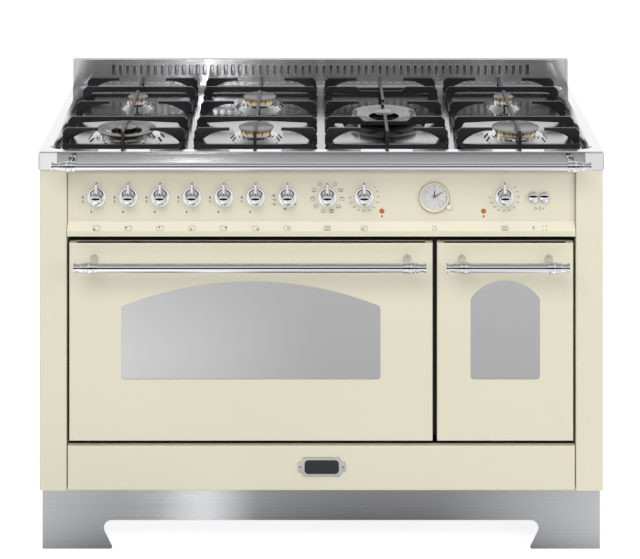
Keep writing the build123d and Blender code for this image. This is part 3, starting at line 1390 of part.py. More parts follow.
def finger(start, reach, under):
    """Upright finger in the current sketch: a leg at start, under its root a gap, a thin tip after reach."""
    way = 1 if reach > 0 else -1
    Polygon(
        (start, FRAME_Z),
        (start, PAN_PLANE - FINGER_SHOULDER),
        (start + way * FINGER_SHOULDER, PAN_PLANE),
        (start + reach, PAN_PLANE),
        (start + reach, PAN_PLANE - FINGER_TIP),
        (start + way * BAR_ROOT, under),
        (start + way * GRATE_BAR, FRAME_Z),
        align=None,
    )


for i, x in enumerate(GRATE_XS):
    wok = i == WOK_GRATE
    left = x - GRATE_WIDTH / 2
    right = x + GRATE_WIDTH / 2
    with BuildPart() as pan_support:
        with BuildSketch(Plane.XY.offset(FRAME_Z)):
            with Locations((x, GRATE_MIDDLE)):
                RectangleRounded(GRATE_WIDTH, GRATE_LENGTH, GRATE_CORNER)
                RectangleRounded(
                    GRATE_WIDTH - 2 * GRATE_BAR,
                    GRATE_LENGTH - 2 * GRATE_BAR,
                    GRATE_CORNER - GRATE_BAR,
                    mode=Mode.SUBTRACT,
                )
        extrude(amount=GRATE_FRAME_HEIGHT)
        with BuildSketch(Plane.XY.offset(PAN_Z)):
            with Locations((x, GRATE_MIDDLE)):
                with GridLocations(GRATE_WIDTH - GRATE_BAR, GRATE_LENGTH - 4 * GRATE_CORNER, 2, 2):
                    Circle(GRATE_BAR / 2)
        extrude(amount=GRATE_FRAME_LIFT)
        with BuildSketch(Plane.XY.offset(FRAME_Z)):
            with Locations(
                [
                    (edge, behind(row))
                    for edge in (left + GRATE_BAR / 2, right - GRATE_BAR / 2)
                    for row in (*FINGER_ROWS, FRONT_BAR, REAR_BAR)
                ]
            ):
                Circle(KNUCKLE_RADIUS)
        extrude(amount=KNUCKLE_HEIGHT)
        for row in FINGER_ROWS:
            for edge, way in ((left, 1), (right, -1)):
                tip = edge + way * FINGER_REACH
                with BuildSketch(upright(row)):
                    with BuildLine():
                        Polyline(
                            (edge + way * FINGER_ROOT, WEDGE_Z),
                            (edge + way * GRATE_BAR, FRAME_Z),
                            (edge, FRAME_Z),
                            (edge, PAN_PLANE - FINGER_SHOULDER),
                            (edge + way * FINGER_SHOULDER, PAN_PLANE),
                            (tip, PAN_PLANE),
                            (tip, PAN_PLANE - FINGER_TIP),
                        )
                        ThreePointArc(
                            (tip, PAN_PLANE - FINGER_TIP),
                            (edge + way * FINGER_KNEE, PAN_PLANE - FINGER_KNEE_DROP),
                            (edge + way * FINGER_ROOT, WEDGE_Z),
                        )
                    make_face()
                extrude(amount=FINGER_WIDTH / 2, both=True)
        for row in (FRONT_BAR, REAR_BAR):
            with BuildSketch(upright(row)):
                finger(left, BAR_ROOT + FINGER_SHOULDER, PAN_PLANE - BAR_END)
                finger(right, -BAR_ROOT - FINGER_SHOULDER, PAN_PLANE - BAR_END)
                if wok:
                    dip = DIP_WIDTH / 2
                    floor = PAN_PLANE - DIP_DROP
                    Polygon(
                        (left + FINGER_SHOULDER, PAN_PLANE),
                        (x - dip - DIP_SLOPE, PAN_PLANE),
                        (x - dip, floor),
                        (x + dip, floor),
                        (x + dip + DIP_SLOPE, PAN_PLANE),
                        (right - FINGER_SHOULDER, PAN_PLANE),
                        (right - FINGER_SHOULDER, PAN_PLANE - BAR_END),
                        (x + dip, floor - BAR_MIDDLE),
                        (x - dip, floor - BAR_MIDDLE),
                        (left + FINGER_SHOULDER, PAN_PLANE - BAR_END),
                        align=None,
                    )
                else:
                    Polygon(
                        (left + FINGER_SHOULDER, PAN_PLANE),
                        (right - FINGER_SHOULDER, PAN_PLANE),
                        (right - FINGER_SHOULDER, PAN_PLANE - BAR_END),
                        (x, PAN_PLANE - BAR_MIDDLE),
                        (left + FINGER_SHOULDER, PAN_PLANE - BAR_END),
                        align=None,
                    )
            extrude(amount=FINGER_WIDTH / 2, both=True)
        front = behind(GRATE_FRONT)
        rear = behind(GRATE_REAR)
        if wok:
            front_reach = WOK_BURNER_DEPTH - WOK_CLEAR - GRATE_FRONT
            rear_reach = GRATE_REAR - WOK_BURNER_DEPTH - WOK_CLEAR
        else:
            front_reach = FRONT_BURNER_DEPTH - GRATE_FRONT
            rear_reach = GRATE_REAR - REAR_BAR
        with BuildSketch(Plane.YZ.offset(x)):
            finger(front, front_reach, PAN_PLANE - BAR_MIDDLE)
            finger(rear, -rear_reach, PAN_PLANE - BAR_MIDDLE)
            if not wok:
                Polygon(
                    (behind(FRONT_BAR), PAN_PLANE),
                    (behind(REAR_BURNER_DEPTH), PAN_PLANE),
                    (behind(REAR_BURNER_DEPTH), PAN_PLANE - FINGER_TIP),
                    (behind(FRONT_BAR), PAN_PLANE - BAR_MIDDLE),
                    align=None,
                )
        extrude(amount=FINGER_WIDTH / 2, both=True)
    save(pan_support, f"pan_support_{i + 1}")

# Backguard: hollow upstand on the rear of the hob with a row of upright vent slots and a row of foot slots
with BuildPart() as backguard:
    with BuildSketch(Plane.XY.offset(HOB_TOP)):
        with Locations((0, behind(HOB_DEPTH - BACKGUARD_DEPTH / 2))):
            Rectangle(HOB_WIDTH, BACKGUARD_DEPTH)
    extrude(amount=BACKGUARD_HEIGHT)
    offset(amount=-BACKGUARD_SHEET, openings=backguard.faces().sort_by(Axis.Z)[0], kind=Kind.INTERSECTION)
    with Locations(
        [
            (side * (HOB_WIDTH - BACKGUARD_HEM) / 2, behind(HOB_DEPTH - BACKGUARD_DEPTH), HOB_TOP)
            for side in (-1, 1)
        ]
    ):
        Box(
            BACKGUARD_HEM,
            BACKGUARD_HEM_PROUD,
            BACKGUARD_HEIGHT,
            align=(Align.CENTER, Align.MAX, Align.MIN),
        )
    with BuildSketch(upright(HOB_DEPTH - BACKGUARD_DEPTH)):
        with Locations((0, HOB_TOP + SLOT_RISE)):
            with GridLocations(SLOT_PITCH, 1, SLOT_COUNT, 1):
                SlotOverall(SLOT_HEIGHT, SLOT_WIDTH, rotation=90)
        with Locations((0, HOB_TOP + FOOT_SLOT_RISE)):
            with GridLocations(FOOT_SLOT_PITCH, 1, FOOT_SLOT_COUNT, 1):
                SlotOverall(FOOT_SLOT_LENGTH, FOOT_SLOT_WIDTH)
    extrude(amount=-BACKGUARD_SHEET, mode=Mode.SUBTRACT)
save(backguard, "backguard")
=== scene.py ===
import bmesh
import bpy
import math
from mathutils import Matrix, Vector


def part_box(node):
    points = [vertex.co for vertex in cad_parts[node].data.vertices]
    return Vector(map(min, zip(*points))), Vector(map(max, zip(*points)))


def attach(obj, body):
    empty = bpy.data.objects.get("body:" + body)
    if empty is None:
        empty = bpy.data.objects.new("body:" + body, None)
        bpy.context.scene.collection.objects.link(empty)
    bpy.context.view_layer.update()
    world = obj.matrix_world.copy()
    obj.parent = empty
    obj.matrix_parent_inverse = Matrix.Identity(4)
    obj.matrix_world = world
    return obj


# Range cooker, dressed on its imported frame. Metres, +Z up, front towards -Y.
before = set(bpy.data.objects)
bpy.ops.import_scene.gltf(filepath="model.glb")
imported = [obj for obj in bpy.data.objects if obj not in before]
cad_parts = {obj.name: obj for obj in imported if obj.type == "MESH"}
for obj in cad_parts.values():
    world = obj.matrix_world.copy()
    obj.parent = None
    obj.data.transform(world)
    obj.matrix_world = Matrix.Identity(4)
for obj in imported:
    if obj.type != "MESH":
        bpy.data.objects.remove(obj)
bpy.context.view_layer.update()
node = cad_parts


# Plinth: folded stainless skirt on four shaped legs, brushed along its length and spot-welded at the corners.
# The levelling feet behind it are zinc-plated pressings on threaded studs; base tray, rear panel, drawer box
# and hinges have the same zinc.
def even(finish, **values):
    """Set shader sockets that are the same all over; an underscore stands for a space in a name."""
    for name, value in values.items():
        finish.node_tree.nodes["Principled BSDF"].inputs[name.replace("_", " ")].default_value = value


def new_finish(name, colour, metallic, roughness):
    """Node material with one shader; even values are set on the shader itself."""
    finish = bpy.data.materials.new(name)
    finish.use_nodes = True
    even(finish, Base_Color=(*colour, 1.0), Metallic=metallic, Roughness=roughness)
    return finish


def feed(finish, source, socket):
    """Let a node's output run one of the shader's sockets."""
    finish.node_tree.links.new(source, finish.node_tree.nodes["Principled BSDF"].inputs[socket])


def grain(finish, scale, stretch=(1.0, 1.0, 1.0), detail=4.0):
    """Noise on the piece's own coordinates, drawn out by stretch."""
    nodes = finish.node_tree.nodes
    links = finish.node_tree.links
    place = nodes.new("ShaderNodeTexCoord")
    spread = nodes.new("ShaderNodeMapping")
    spread.inputs["Scale"].default_value = stretch
    noise = nodes.new("ShaderNodeTexNoise")
    noise.inputs["Scale"].default_value = scale
    noise.inputs["Detail"].default_value = detail
    links.new(place.outputs["Object"], spread.inputs["Vector"])
    links.new(spread.outputs["Vector"], noise.inputs["Vector"])
    return noise.outputs["Fac"]


def vary(finish, pattern, socket, low, high, start=0.3, stop=0.7):
    """Run one shader socket between two values, or two colours, by a pattern."""
    nodes = finish.node_tree.nodes
    links = finish.node_tree.links
    if isinstance(low, tuple):
        ramp = nodes.new("ShaderNodeValToRGB")
        for end, position, colour in zip(ramp.color_ramp.elements, (start, stop), (low, high)):
            end.position = position
            end.color = (*colour, 1.0)
        links.new(pattern, ramp.inputs["Fac"])
        feed(finish, ramp.outputs["Color"], socket)
        return
    span = nodes.new("ShaderNodeMapRange")
    span.inputs["From Min"].default_value = start
    span.inputs["From Max"].default_value = stop
    span.inputs["To Min"].default_value = low
    span.inputs["To Max"].default_value = high
    links.new(pattern, span.inputs["Value"])
    feed(finish, span.outputs["Result"], socket)


def relief(finish, pattern, strength, depth):
    """Small surface relief from a pattern."""
    bump = finish.node_tree.nodes.new("ShaderNodeBump")
    bump.inputs["Strength"].default_value = strength
    bump.inputs["Distance"].default_value = depth
    finish.node_tree.links.new(pattern, bump.inputs["Height"])
    feed(finish, bump.outputs["Normal"], "Normal")


def brush(finish, amount):
    """Draw highlights out across brush lines that run along X."""
    tangent = finish.node_tree.nodes.new("ShaderNodeTangent")
    tangent.direction_type = "RADIAL"
    tangent.axis = "X"
    feed(finish, tangent.outputs["Tangent"], "Tangent")
    even(finish, Anisotropic=amount)


def dress(finish, *names):
    """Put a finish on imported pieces."""
    for name in names:
        for place in node[name].material_slots:
            place.material = finish


brushed_steel = new_finish("brushed_steel", (0.45, 0.45, 0.46), 1.0, 0.22)
brush_lines = grain(brushed_steel, 60.0, (0.03, 10.0, 10.0), 6.0)
vary(brushed_steel, brush_lines, "Base Color", (0.42, 0.424, 0.435), (0.48, 0.484, 0.495))
vary(brushed_steel, brush_lines, "Roughness", 0.23, 0.28)
brush(brushed_steel, 1.0)
dress(brushed_steel, "plinth")

zinc = new_finish("zinc", (0.50, 0.51, 0.52), 1.0, 0.42)
spangle = grain(zinc, 105.0, detail=1.0)
vary(zinc, spangle, "Base Color", (0.44, 0.45, 0.46), (0.57, 0.58, 0.59), 0.35, 0.65)
vary(zinc, spangle, "Roughness", 0.34, 0.55)
dress(zinc, "levelling_feet", "base_tray", "rear_panel", "drawer_box", "door_hinges")


# Rear screws: zinc-plated pan heads that hold the galvanised rear panel to the cabinet.
# They stand in a row along the panel's foot and up both its sides; each head narrows to its crown.
SCREW_RADIUS = 0.0038
SCREW_CROWN = 0.72
SCREW_HEIGHT = 0.0022
SCREW_SIDES = 14
SCREW_INSET = 0.012
SCREW_COLUMNS = 9
SCREW_ROWS = 5
SCREW_TOP = 0.780
BACK = (0.0, 1.0, 0.0)


def new_piece(name, form, finish, body, place=Matrix.Identity(4)):
    """Set a form in its place, put its finish on and let it ride on a body of the cooker."""
    bmesh.ops.transform(form, matrix=place, verts=form.verts[:])
    bmesh.ops.recalc_face_normals(form, faces=form.faces[:])
    mesh = bpy.data.meshes.new(name)
    form.to_mesh(mesh)
    form.free()
    mesh.materials.append(finish)
    piece = bpy.data.objects.new(name, mesh)
    bpy.context.collection.objects.link(piece)
    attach(piece, body)


def facing(place, out, up=(0.0, 0.0, 1.0)):
    """Matrix that sets a form drawn in XY, thickness along +Z, on a surface that looks towards out."""
    up = Vector(up).normalized()
    out = Vector(out).normalized()
    side = up.cross(out)
    turn = Matrix((side, up, out)).transposed()
    return Matrix.Translation(place) @ turn.to_4x4()


rear_low, rear_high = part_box("rear_panel")
row_span = rear_high.x - rear_low.x - 2 * SCREW_INSET
screw_places = []
for step in range(SCREW_COLUMNS):
    across = rear_low.x + SCREW_INSET + row_span * step / (SCREW_COLUMNS - 1)
    screw_places += [(across, rear_low.z + SCREW_INSET)]
for step in range(1, SCREW_ROWS):
    rise = rear_low.z + SCREW_INSET + (SCREW_TOP - rear_low.z) * step / SCREW_ROWS
    screw_places += [(rear_low.x + SCREW_INSET, rise), (rear_high.x - SCREW_INSET, rise)]
screws = bmesh.new()
for across, rise in screw_places:
    bmesh.ops.create_cone(
        screws,
        cap_ends=True,
        segments=SCREW_SIDES,
        radius1=SCREW_RADIUS,
        radius2=SCREW_RADIUS * SCREW_CROWN,
        depth=SCREW_HEIGHT,
        matrix=facing((across, rear_high.y + SCREW_HEIGHT / 2, rise), BACK),
    )
screw_zinc = new_finish("screw_zinc", (0.62, 0.60, 0.52), 1.0, 0.3)
vary(screw_zinc, grain(screw_zinc, 300.0), "Roughness", 0.24, 0.4)
new_piece("rear_screws", screws, screw_zinc, "cabinet")


# Ovens: black enamelled liners with a fine pale fleck, wrapped in mineral wool behind a dark front frame.
# The fan cover and grill elements sit inside, and a braided gasket seals each mouth.
oven_enamel = new_finish("oven_enamel", (0.012, 0.012, 0.013), 0.0, 0.28)
fleck = grain(oven_enamel, 420.0, detail=1.0)
vary(oven_enamel, fleck, "Base Color", (0.010, 0.010, 0.011), (0.20, 0.21, 0.23), 0.68, 0.74)
vary(oven_enamel, grain(oven_enamel, 12.0), "Roughness", 0.22, 0.34)
dress(oven_enamel, "large_oven_liner", "small_oven_liner", "fan_cover")

frame_paint = new_finish("frame_paint", (0.014, 0.014, 0.015), 0.0, 0.45)
relief(frame_paint, grain(frame_paint, 500.0), 0.1, 0.0003)
vary(frame_paint, grain(frame_paint, 6.0), "Roughness", 0.38, 0.52)
dress(frame_paint, "front_frame", "grill_elements")

wool = new_finish("mineral_wool", (0.55, 0.47, 0.28), 0.0, 0.95)
fibres = grain(wool, 220.0, (1.0, 0.2, 1.0), 8.0)
vary(wool, fibres, "Base Color", (0.42, 0.34, 0.18), (0.66, 0.58, 0.38))
relief(wool, fibres, 0.7, 0.003)
dress(wool, "insulation")

braid = new_finish("gasket_braid", (0.06, 0.06, 0.06), 0.0, 0.85)
plait = grain(braid, 900.0, detail=2.0)
vary(braid, plait, "Base Color", (0.03, 0.03, 0.03), (0.10, 0.10, 0.10))
relief(braid, plait, 0.6, 0.0008)
dress(braid, "door_gaskets")

fan_steel = new_finish("fan_steel", (0.55, 0.55, 0.56), 1.0, 0.35)
vary(fan_steel, grain(fan_steel, 90.0, (1.0, 1.0, 0.2)), "Roughness", 0.28, 0.45)
vary(fan_steel, grain(fan_steel, 8.0), "Base Color", (0.48, 0.47, 0.46), (0.60, 0.60, 0.61))
dress(fan_steel, "oven_fan", "fan_motor")


# Cream enamel: side panels, door skins, drawer front, control panel and clock case are enamelled pressings.
# The enamel is fired on; it has a slight waviness and pools a little darker where it ran before firing.
cream_enamel = new_finish("cream_enamel", (0.73, 0.69, 0.54), 0.0, 0.24)
pooling = grain(cream_enamel, 2.2, detail=1.0)
vary(cream_enamel, pooling, "Base Color", (0.715, 0.680, 0.535), (0.745, 0.705, 0.560))
vary(cream_enamel, grain(cream_enamel, 9.0, detail=1.0), "Roughness", 0.20, 0.27)
relief(cream_enamel, grain(cream_enamel, 18.0, detail=0.0), 0.02, 0.002)
dress(cream_enamel, "side_panels", "large_door_skin", "small_door_skin")
dress(cream_enamel, "drawer_front", "control_panel", "clock_case")


# Oven doors: enamelled skins over grey steel liners, which show as a thin strip above each door.
# The panes are toughened glass with a mirror coating, and the handles chromium-plated tubes on two brackets.
# The wire shelves behind the doors are plated like the handles.
liner_steel = new_finish("liner_steel", (0.46, 0.46, 0.46), 1.0, 0.40)
vary(liner_steel, grain(liner_steel, 50.0, (0.04, 8.0, 8.0)), "Roughness", 0.34, 0.46)
vary(liner_steel, grain(liner_steel, 4.0), "Base Color", (0.42, 0.42, 0.42), (0.50, 0.50, 0.50))
dress(liner_steel, "large_door_liner", "small_door_liner")

pane = new_finish("mirror_pane", (0.42, 0.415, 0.42), 1.0, 0.16)
vary(pane, grain(pane, 5.0, detail=1.0), "Roughness", 0.14, 0.18)
vary(pane, grain(pane, 1.5, detail=0.0), "Base Color", (0.41, 0.405, 0.41), (0.435, 0.43, 0.435))
dress(pane, "large_door_glass", "small_door_glass")

chrome = new_finish("chrome", (0.70, 0.70, 0.72), 1.0, 0.06)
wipes = grain(chrome, 25.0, detail=3.0)
vary(chrome, wipes, "Roughness", 0.04, 0.08)
dress(chrome, "large_door_handle", "small_door_handle", "oven_shelves")


# Drawer plate: die-cast frame with hollowed corners, riveted to the drawer front through a lug at each end.
# Its black enamelled field is left bare.
FRONT = (0.0, -1.0, 0.0)
PLATE_CENTRE = (0.001, 0.1824)
PLATE_QUARTER = (
    (0.0386, 0.0200),
    (0.0406, 0.0156),
    (0.0432, 0.0120),
    (0.0464, 0.0098),
    (0.0496, 0.0094),
    (0.0510, 0.0080),
)
PLATE_THICKNESS = 0.0022
PLATE_EDGE = 0.0007
FIELD_SIZE = (0.073, 0.029)
FIELD_CORNER = 0.008
FIELD_ROUNDING = 6
FIELD_THICKNESS = 0.0004
RIVET_REACH = 0.0453
RIVET_RADIUS = 0.0019
RIVET_CROWN = 0.6
RIVET_HEIGHT = 0.0009
RIVET_SIDES = 16


def at(x, y, z=0.0):
    """Matrix that moves a form drawn in XY."""
    return Matrix.Translation((x, y, z))


def thicken(form, depth):
    """Give the flat faces of a form a thickness along +Z, closed on both sides."""
    raised = bmesh.ops.extrude_face_region(form, geom=form.faces[:], use_keep_orig=True)["geom"]
    corners = [part for part in raised if isinstance(part, bmesh.types.BMVert)]
    bmesh.ops.translate(form, verts=corners, vec=(0.0, 0.0, depth))


def rounded_face(form, x, y, width, height, corner, segments=4):
    """Flat box with rounded corners, drawn in XY."""
    place = at(x, y) @ Matrix.Diagonal((width, height, 1.0, 1.0))
    corners = bmesh.ops.create_grid(form, x_segments=1, y_segments=1, size=0.5, matrix=place)["verts"]
    rounded = bmesh.ops.bevel(
        form,
        geom=corners,
        offset=corner,
        segments=segments,
        profile=0.5,
        affect="VERTICES",
        material=-1,
    )
    return rounded["verts"][0].link_faces[0]


drawer_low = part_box("drawer_front")[0]
plate_place = facing((PLATE_CENTRE[0], drawer_low.y, PLATE_CENTRE[1]), FRONT)
plate_top = plate_place @ at(0.0, 0.0, PLATE_THICKNESS)
plate = bmesh.new()
outline = []
for side, rise, order in ((1, 1, 1), (1, -1, -1), (-1, -1, 1), (-1, 1, -1)):
    outline += [plate.verts.new((side * x, rise * y, 0.0)) for x, y in PLATE_QUARTER[::order]]
plate.faces.new(outline)
thicken(plate, PLATE_THICKNESS)
rim = [edge for edge in plate.edges if all(corner.co.z > PLATE_THICKNESS / 2 for corner in edge.verts)]
bmesh.ops.bevel(plate, geom=rim, offset=PLATE_EDGE, segments=3, profile=0.5, affect="EDGES", material=-1)
plate_metal = new_finish("plate_metal", (0.66, 0.65, 0.64), 1.0, 0.28)
vary(plate_metal, grain(plate_metal, 240.0), "Roughness", 0.22, 0.38)
vary(plate_metal, grain(plate_metal, 60.0), "Base Color", (0.60, 0.59, 0.58), (0.72, 0.71, 0.70))
new_piece("drawer_plate", plate, plate_metal, "drawer", plate_place)

field = bmesh.new()
rounded_face(field, 0.0, 0.0, *FIELD_SIZE, FIELD_CORNER, FIELD_ROUNDING)
thicken(field, FIELD_THICKNESS)
field_enamel = new_finish("field_enamel", (0.012, 0.013, 0.013), 0.0, 0.22)
vary(field_enamel, grain(field_enamel, 150.0), "Roughness", 0.16, 0.3)
relief(field_enamel, grain(field_enamel, 500.0), 0.06, 0.0001)
new_piece("plate_field", field, field_enamel, "drawer", plate_top)

rivets = bmesh.new()
for reach in (-RIVET_REACH, RIVET_REACH):
    bmesh.ops.create_cone(
        rivets,
        cap_ends=True,
        segments=RIVET_SIDES,
        radius1=RIVET_RADIUS,
        radius2=RIVET_RADIUS * RIVET_CROWN,
        depth=RIVET_HEIGHT,
        matrix=at(reach, 0.0, RIVET_HEIGHT / 2),
    )
rivet_metal = new_finish("rivet_metal", (0.16, 0.16, 0.17), 1.0, 0.35)
vary(rivet_metal, grain(rivet_metal, 400.0), "Roughness", 0.28, 0.45)
new_piece("plate_rivets", rivets, rivet_metal, "drawer", plate_top)


# Control panel marks: screen-printed on the cream enamel in dark brown ink and fired on.
# Marks stand round each knob on the upright face, under the lamps and under the buttons.
PANEL_FACE_Y = -0.252
INK_DEPTH = 0.00008
INK_LINE = 0.0007
DOT_SIDES = 14
RING_SIDES = 20
FLAME_BELLY = 0.3
FLAME_TAPER = 0.75
FLAME_STRETCH = 2.3


def dot(form, x, y, radius):
    """Round mark."""
    bmesh.ops.create_circle(form, cap_ends=True, segments=DOT_SIDES, radius=radius, matrix=at(x, y))


def bar(form, x, y, width, height, turn=0.0):
    """Straight mark."""
    place = at(x, y) @ Matrix.Rotation(turn, 4, "Z") @ Matrix.Diagonal((width, height, 1.0, 1.0))
    bmesh.ops.create_grid(form, x_segments=1, y_segments=1, size=0.5, matrix=place)


def hollow(form, face, line=INK_LINE):
    """Leave only the outline of a flat face."""
    bmesh.ops.inset_region(form, faces=[face], thickness=line, use_boundary=True, use_even_offset=True)
    bmesh.ops.delete(form, geom=[face], context="FACES_ONLY")


def frame_mark(form, x, y, width, height, corner):
    """Rounded box drawn as a line."""
    hollow(form, rounded_face(form, x, y, width, height, corner))


def ring_mark(form, x, y, radius, sides=RING_SIDES, turn=0.0):
    """Circle, or a figure of a few even sides, drawn as a line."""
    place = at(x, y) @ Matrix.Rotation(turn, 4, "Z")
    ring = bmesh.ops.create_circle(form, cap_ends=True, segments=sides, radius=radius, matrix=place)
    hollow(form, ring["verts"][0].link_faces[0])


def flame(form, x, y, height):
    """Drop-shaped flame mark: a circle whose upper half is drawn up to a tip."""
    belly = height * FLAME_BELLY
    drop = bmesh.ops.create_circle(form, cap_ends=True, segments=DOT_SIDES, radius=belly, matrix=at(x, y))
    for corner in drop["verts"]:
        rise = corner.co.y - y
        if rise > 0.0:
            corner.co.x = x + (corner.co.x - x) * (1.0 - FLAME_TAPER * rise / belly)
            corner.co.y = y + rise * FLAME_STRETCH


def figure(form, words, x, y, height):
    """Printed number, drawn as a mesh before it is placed."""
    letters = bpy.data.curves.new("figure", "FONT")
    letters.body = words
    letters.size = height
    letters.align_x = "CENTER"
    letters.align_y = "CENTER"
    holder = bpy.data.objects.new("figure", letters)
    shape = bpy.data.meshes.new_from_object(holder)
    shape.transform(at(x, y))
    form.from_mesh(shape)
    bpy.data.objects.remove(holder)
    bpy.data.meshes.remove(shape)
    bpy.data.curves.remove(letters)


def knob_axis(name):
    """Place across and height of a knob's axis, the middle of the round rosette at its foot."""
    low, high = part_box(name)
    radius = (high.x - low.x) / 2
    return low.x + radius, low.z + radius


def round_knob(axis, reach, degrees):
    """Point on a circle about a knob, counted clockwise from the top."""
    turn = math.radians(degrees)
    return axis[0] + reach * math.sin(turn), axis[1] + reach * math.cos(turn)


ink = new_finish("printed_ink", (0.060, 0.052, 0.040), 0.0, 0.5)
vary(ink, grain(ink, 700.0), "Roughness", 0.4, 0.6)
vary(ink, grain(ink, 250.0), "Base Color", (0.052, 0.045, 0.034), (0.072, 0.063, 0.050))

GAS_KNOBS = [f"gas_knob_{place}" for place in range(1, 8)]
WOK_KNOB = GAS_KNOBS[-1]
OVEN_KNOBS = ("large_oven_knob", "small_oven_knob")
OFF_REACH = 0.0288
GAS_OFF_DOT = 0.0017
GAS_FLAMES = ((-0.0297, -0.0017, 0.0062), (-0.0297, -0.0102, 0.0048), (-0.0119, -0.0323, 0.0058))
WOK_FLAMES = (
    (-0.0285, 0.0020, 0.0065),
    (-0.0265, -0.0065, 0.0050),
    (-0.0270, -0.0165, 0.0050),
    (-0.0045, -0.0265, 0.0060),
    (0.0175, -0.0160, 0.0050),
)
WOK_DOT_PLACE = (-0.0036, 0.0012)
WOK_DOT = 0.0011
face_marks = bmesh.new()
for name in GAS_KNOBS:
    axis = knob_axis(name)
    flames = WOK_FLAMES if name == WOK_KNOB else GAS_FLAMES
    dot(face_marks, *round_knob(axis, OFF_REACH, 0.0), GAS_OFF_DOT)
    for x, y, height in flames:
        flame(face_marks, axis[0] + x, axis[1] + y, height)
        if name == WOK_KNOB:
            dot(face_marks, axis[0] + x + WOK_DOT_PLACE[0], axis[1] + y + WOK_DOT_PLACE[1], WOK_DOT)

FUNCTIONS = ("light", "top foot", "top", "foot", "top foot fan", "fan", "fan", "top", "foot", "light")
FUNCTION_OFF_DOT = 0.0012
FUNCTION_REACH = 0.0315
FUNCTION_FIRST = 31.0
FUNCTION_STEP = 33.2
FUNCTION_BOX = (0.0092, 0.0074)
FUNCTION_CORNER = 0.0018
ELEMENT_BAR = (0.0058, INK_LINE * 1.4)
ELEMENT_RISE = 0.0022
FAN_DOT = 0.0012
LIGHT_RING = 0.0042
LIGHT_BAR = 0.0045
axis = knob_axis("function_knob")
dot(face_marks, *round_knob(axis, OFF_REACH, 0.0), FUNCTION_OFF_DOT)
for place, picture in enumerate(FUNCTIONS):
    x, y = round_knob(axis, FUNCTION_REACH, FUNCTION_FIRST + place * FUNCTION_STEP)
    if picture == "light":
        ring_mark(face_marks, x, y, LIGHT_RING)
        bar(face_marks, x, y, INK_LINE, LIGHT_BAR)
        continue
    frame_mark(face_marks, x, y, *FUNCTION_BOX, FUNCTION_CORNER)
    if "top" in picture:
        bar(face_marks, x, y + ELEMENT_RISE, *ELEMENT_BAR)
    if "foot" in picture:
        bar(face_marks, x, y - ELEMENT_RISE, *ELEMENT_BAR)
    if "fan" in picture:
        dot(face_marks, x, y, FAN_DOT)

HEAT_ANGLES = (47.0, 68.0, 90.0, 113.0, 138.0, 161.0, 183.0, 204.0, 224.0, 245.0, 267.0)
HEAT_REACH = 0.0303
HEAT_FIRST = 40
HEAT_STEP = 20
HEAT_FIGURE = 0.0044
OVEN_OFF_DOT = 0.0016
for name in OVEN_KNOBS:
    axis = knob_axis(name)
    dot(face_marks, *round_knob(axis, OFF_REACH, 0.0), OVEN_OFF_DOT)
    for place, degrees in enumerate(HEAT_ANGLES):
        x, y = round_knob(axis, HEAT_REACH, degrees)
        figure(face_marks, str(HEAT_FIRST + HEAT_STEP * place), x, y, HEAT_FIGURE)

LAMP_RADIUS = 0.0054
LAMP_FLAME = 0.0062
LAMP_FLAME_DROP = 0.0065
lamp_low, lamp_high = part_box("pilot_lamps")
for x in (lamp_low.x + LAMP_RADIUS, lamp_high.x - LAMP_RADIUS):
    flame(face_marks, x, lamp_low.z - LAMP_FLAME_DROP, LAMP_FLAME)

BUTTON_ROW_DROP = 0.0145
START_ACROSS = -0.0065
START_RADIUS = 0.0046
PAUSE_ACROSS = 0.0035
PAUSE_SIZE = (0.0036, 0.0080)
PAUSE_CORNER = 0.0012
STOP_ACROSS = 0.0100
STOP_DOT = 0.0013
light_low, light_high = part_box("light_button")
spit_low, spit_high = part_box("spit_button")
between = (light_low.x + spit_high.x) / 2
button_row = light_low.z - BUTTON_ROW_DROP
ring_mark(face_marks, between + START_ACROSS, button_row, START_RADIUS, sides=3, turn=-math.pi / 2)
frame_mark(face_marks, between + PAUSE_ACROSS, button_row, *PAUSE_SIZE, PAUSE_CORNER)
dot(face_marks, between + STOP_ACROSS, button_row, STOP_DOT)

thicken(face_marks, INK_DEPTH)
face_place = facing((0.0, PANEL_FACE_Y, 0.0), FRONT)
new_piece("panel_marks", face_marks, ink, "cabinet", face_place)


# Band marks: a row of symbols in the same ink on the sloping band under the panel's face.
# Each says what the control above it serves: a burner's place, an oven, the clock, the light or the spit.
BAND_FOOT = Vector((0.0, -0.263, 0.681))
BAND_HEAD = Vector((0.0, PANEL_FACE_Y, 0.698))
BAND_ROW = 0.30
SYMBOL_SIZE = (0.0150, 0.0106)
HOB_CORNER = 0.0032
BURNER_DOT = 0.0019
BURNER_PLACES = (
    (-0.0041, -0.0022),
    (-0.0041, 0.0013),
    (-0.0014, 0.0020),
    (-0.0014, -0.0016),
    (0.0041, 0.0013),
    (0.0041, -0.0016),
    (0.0015, 0.0),
)
OVEN_CORNER = 0.0040
OVEN_BAR = (0.0110, 0.0013)
OVEN_BAR_RISE = 0.0022
HEAT_DOTS = ((-0.0025, -0.0012, 0.0019), (0.0030, 0.0010, 0.0010))
CLOCK_RING = 0.0054
CLOCK_HANDS = ((0.0, 0.0014, INK_LINE, 0.0034), (0.0011, 0.0003, 0.0028, INK_LINE))
BULB_RING = 0.0028
BULB_DROP = 0.0006
BULB_CAP = (0.0024, 0.0026)
BULB_CAP_RISE = 0.0036
SPIT_UPRIGHT = (0.0044, 0.0033)
SPIT_UPRIGHT_LENGTH = 0.0030
SPIT_CROSSWISE = (0.0033, 0.0048)
SPIT_CROSSWISE_LENGTH = 0.0029
band_marks = bmesh.new()
for name, (x, y) in zip(GAS_KNOBS, BURNER_PLACES):
    across = knob_axis(name)[0]
    frame_mark(band_marks, across, 0.0, *SYMBOL_SIZE, HOB_CORNER)
    dot(band_marks, across + x, y, BURNER_DOT)
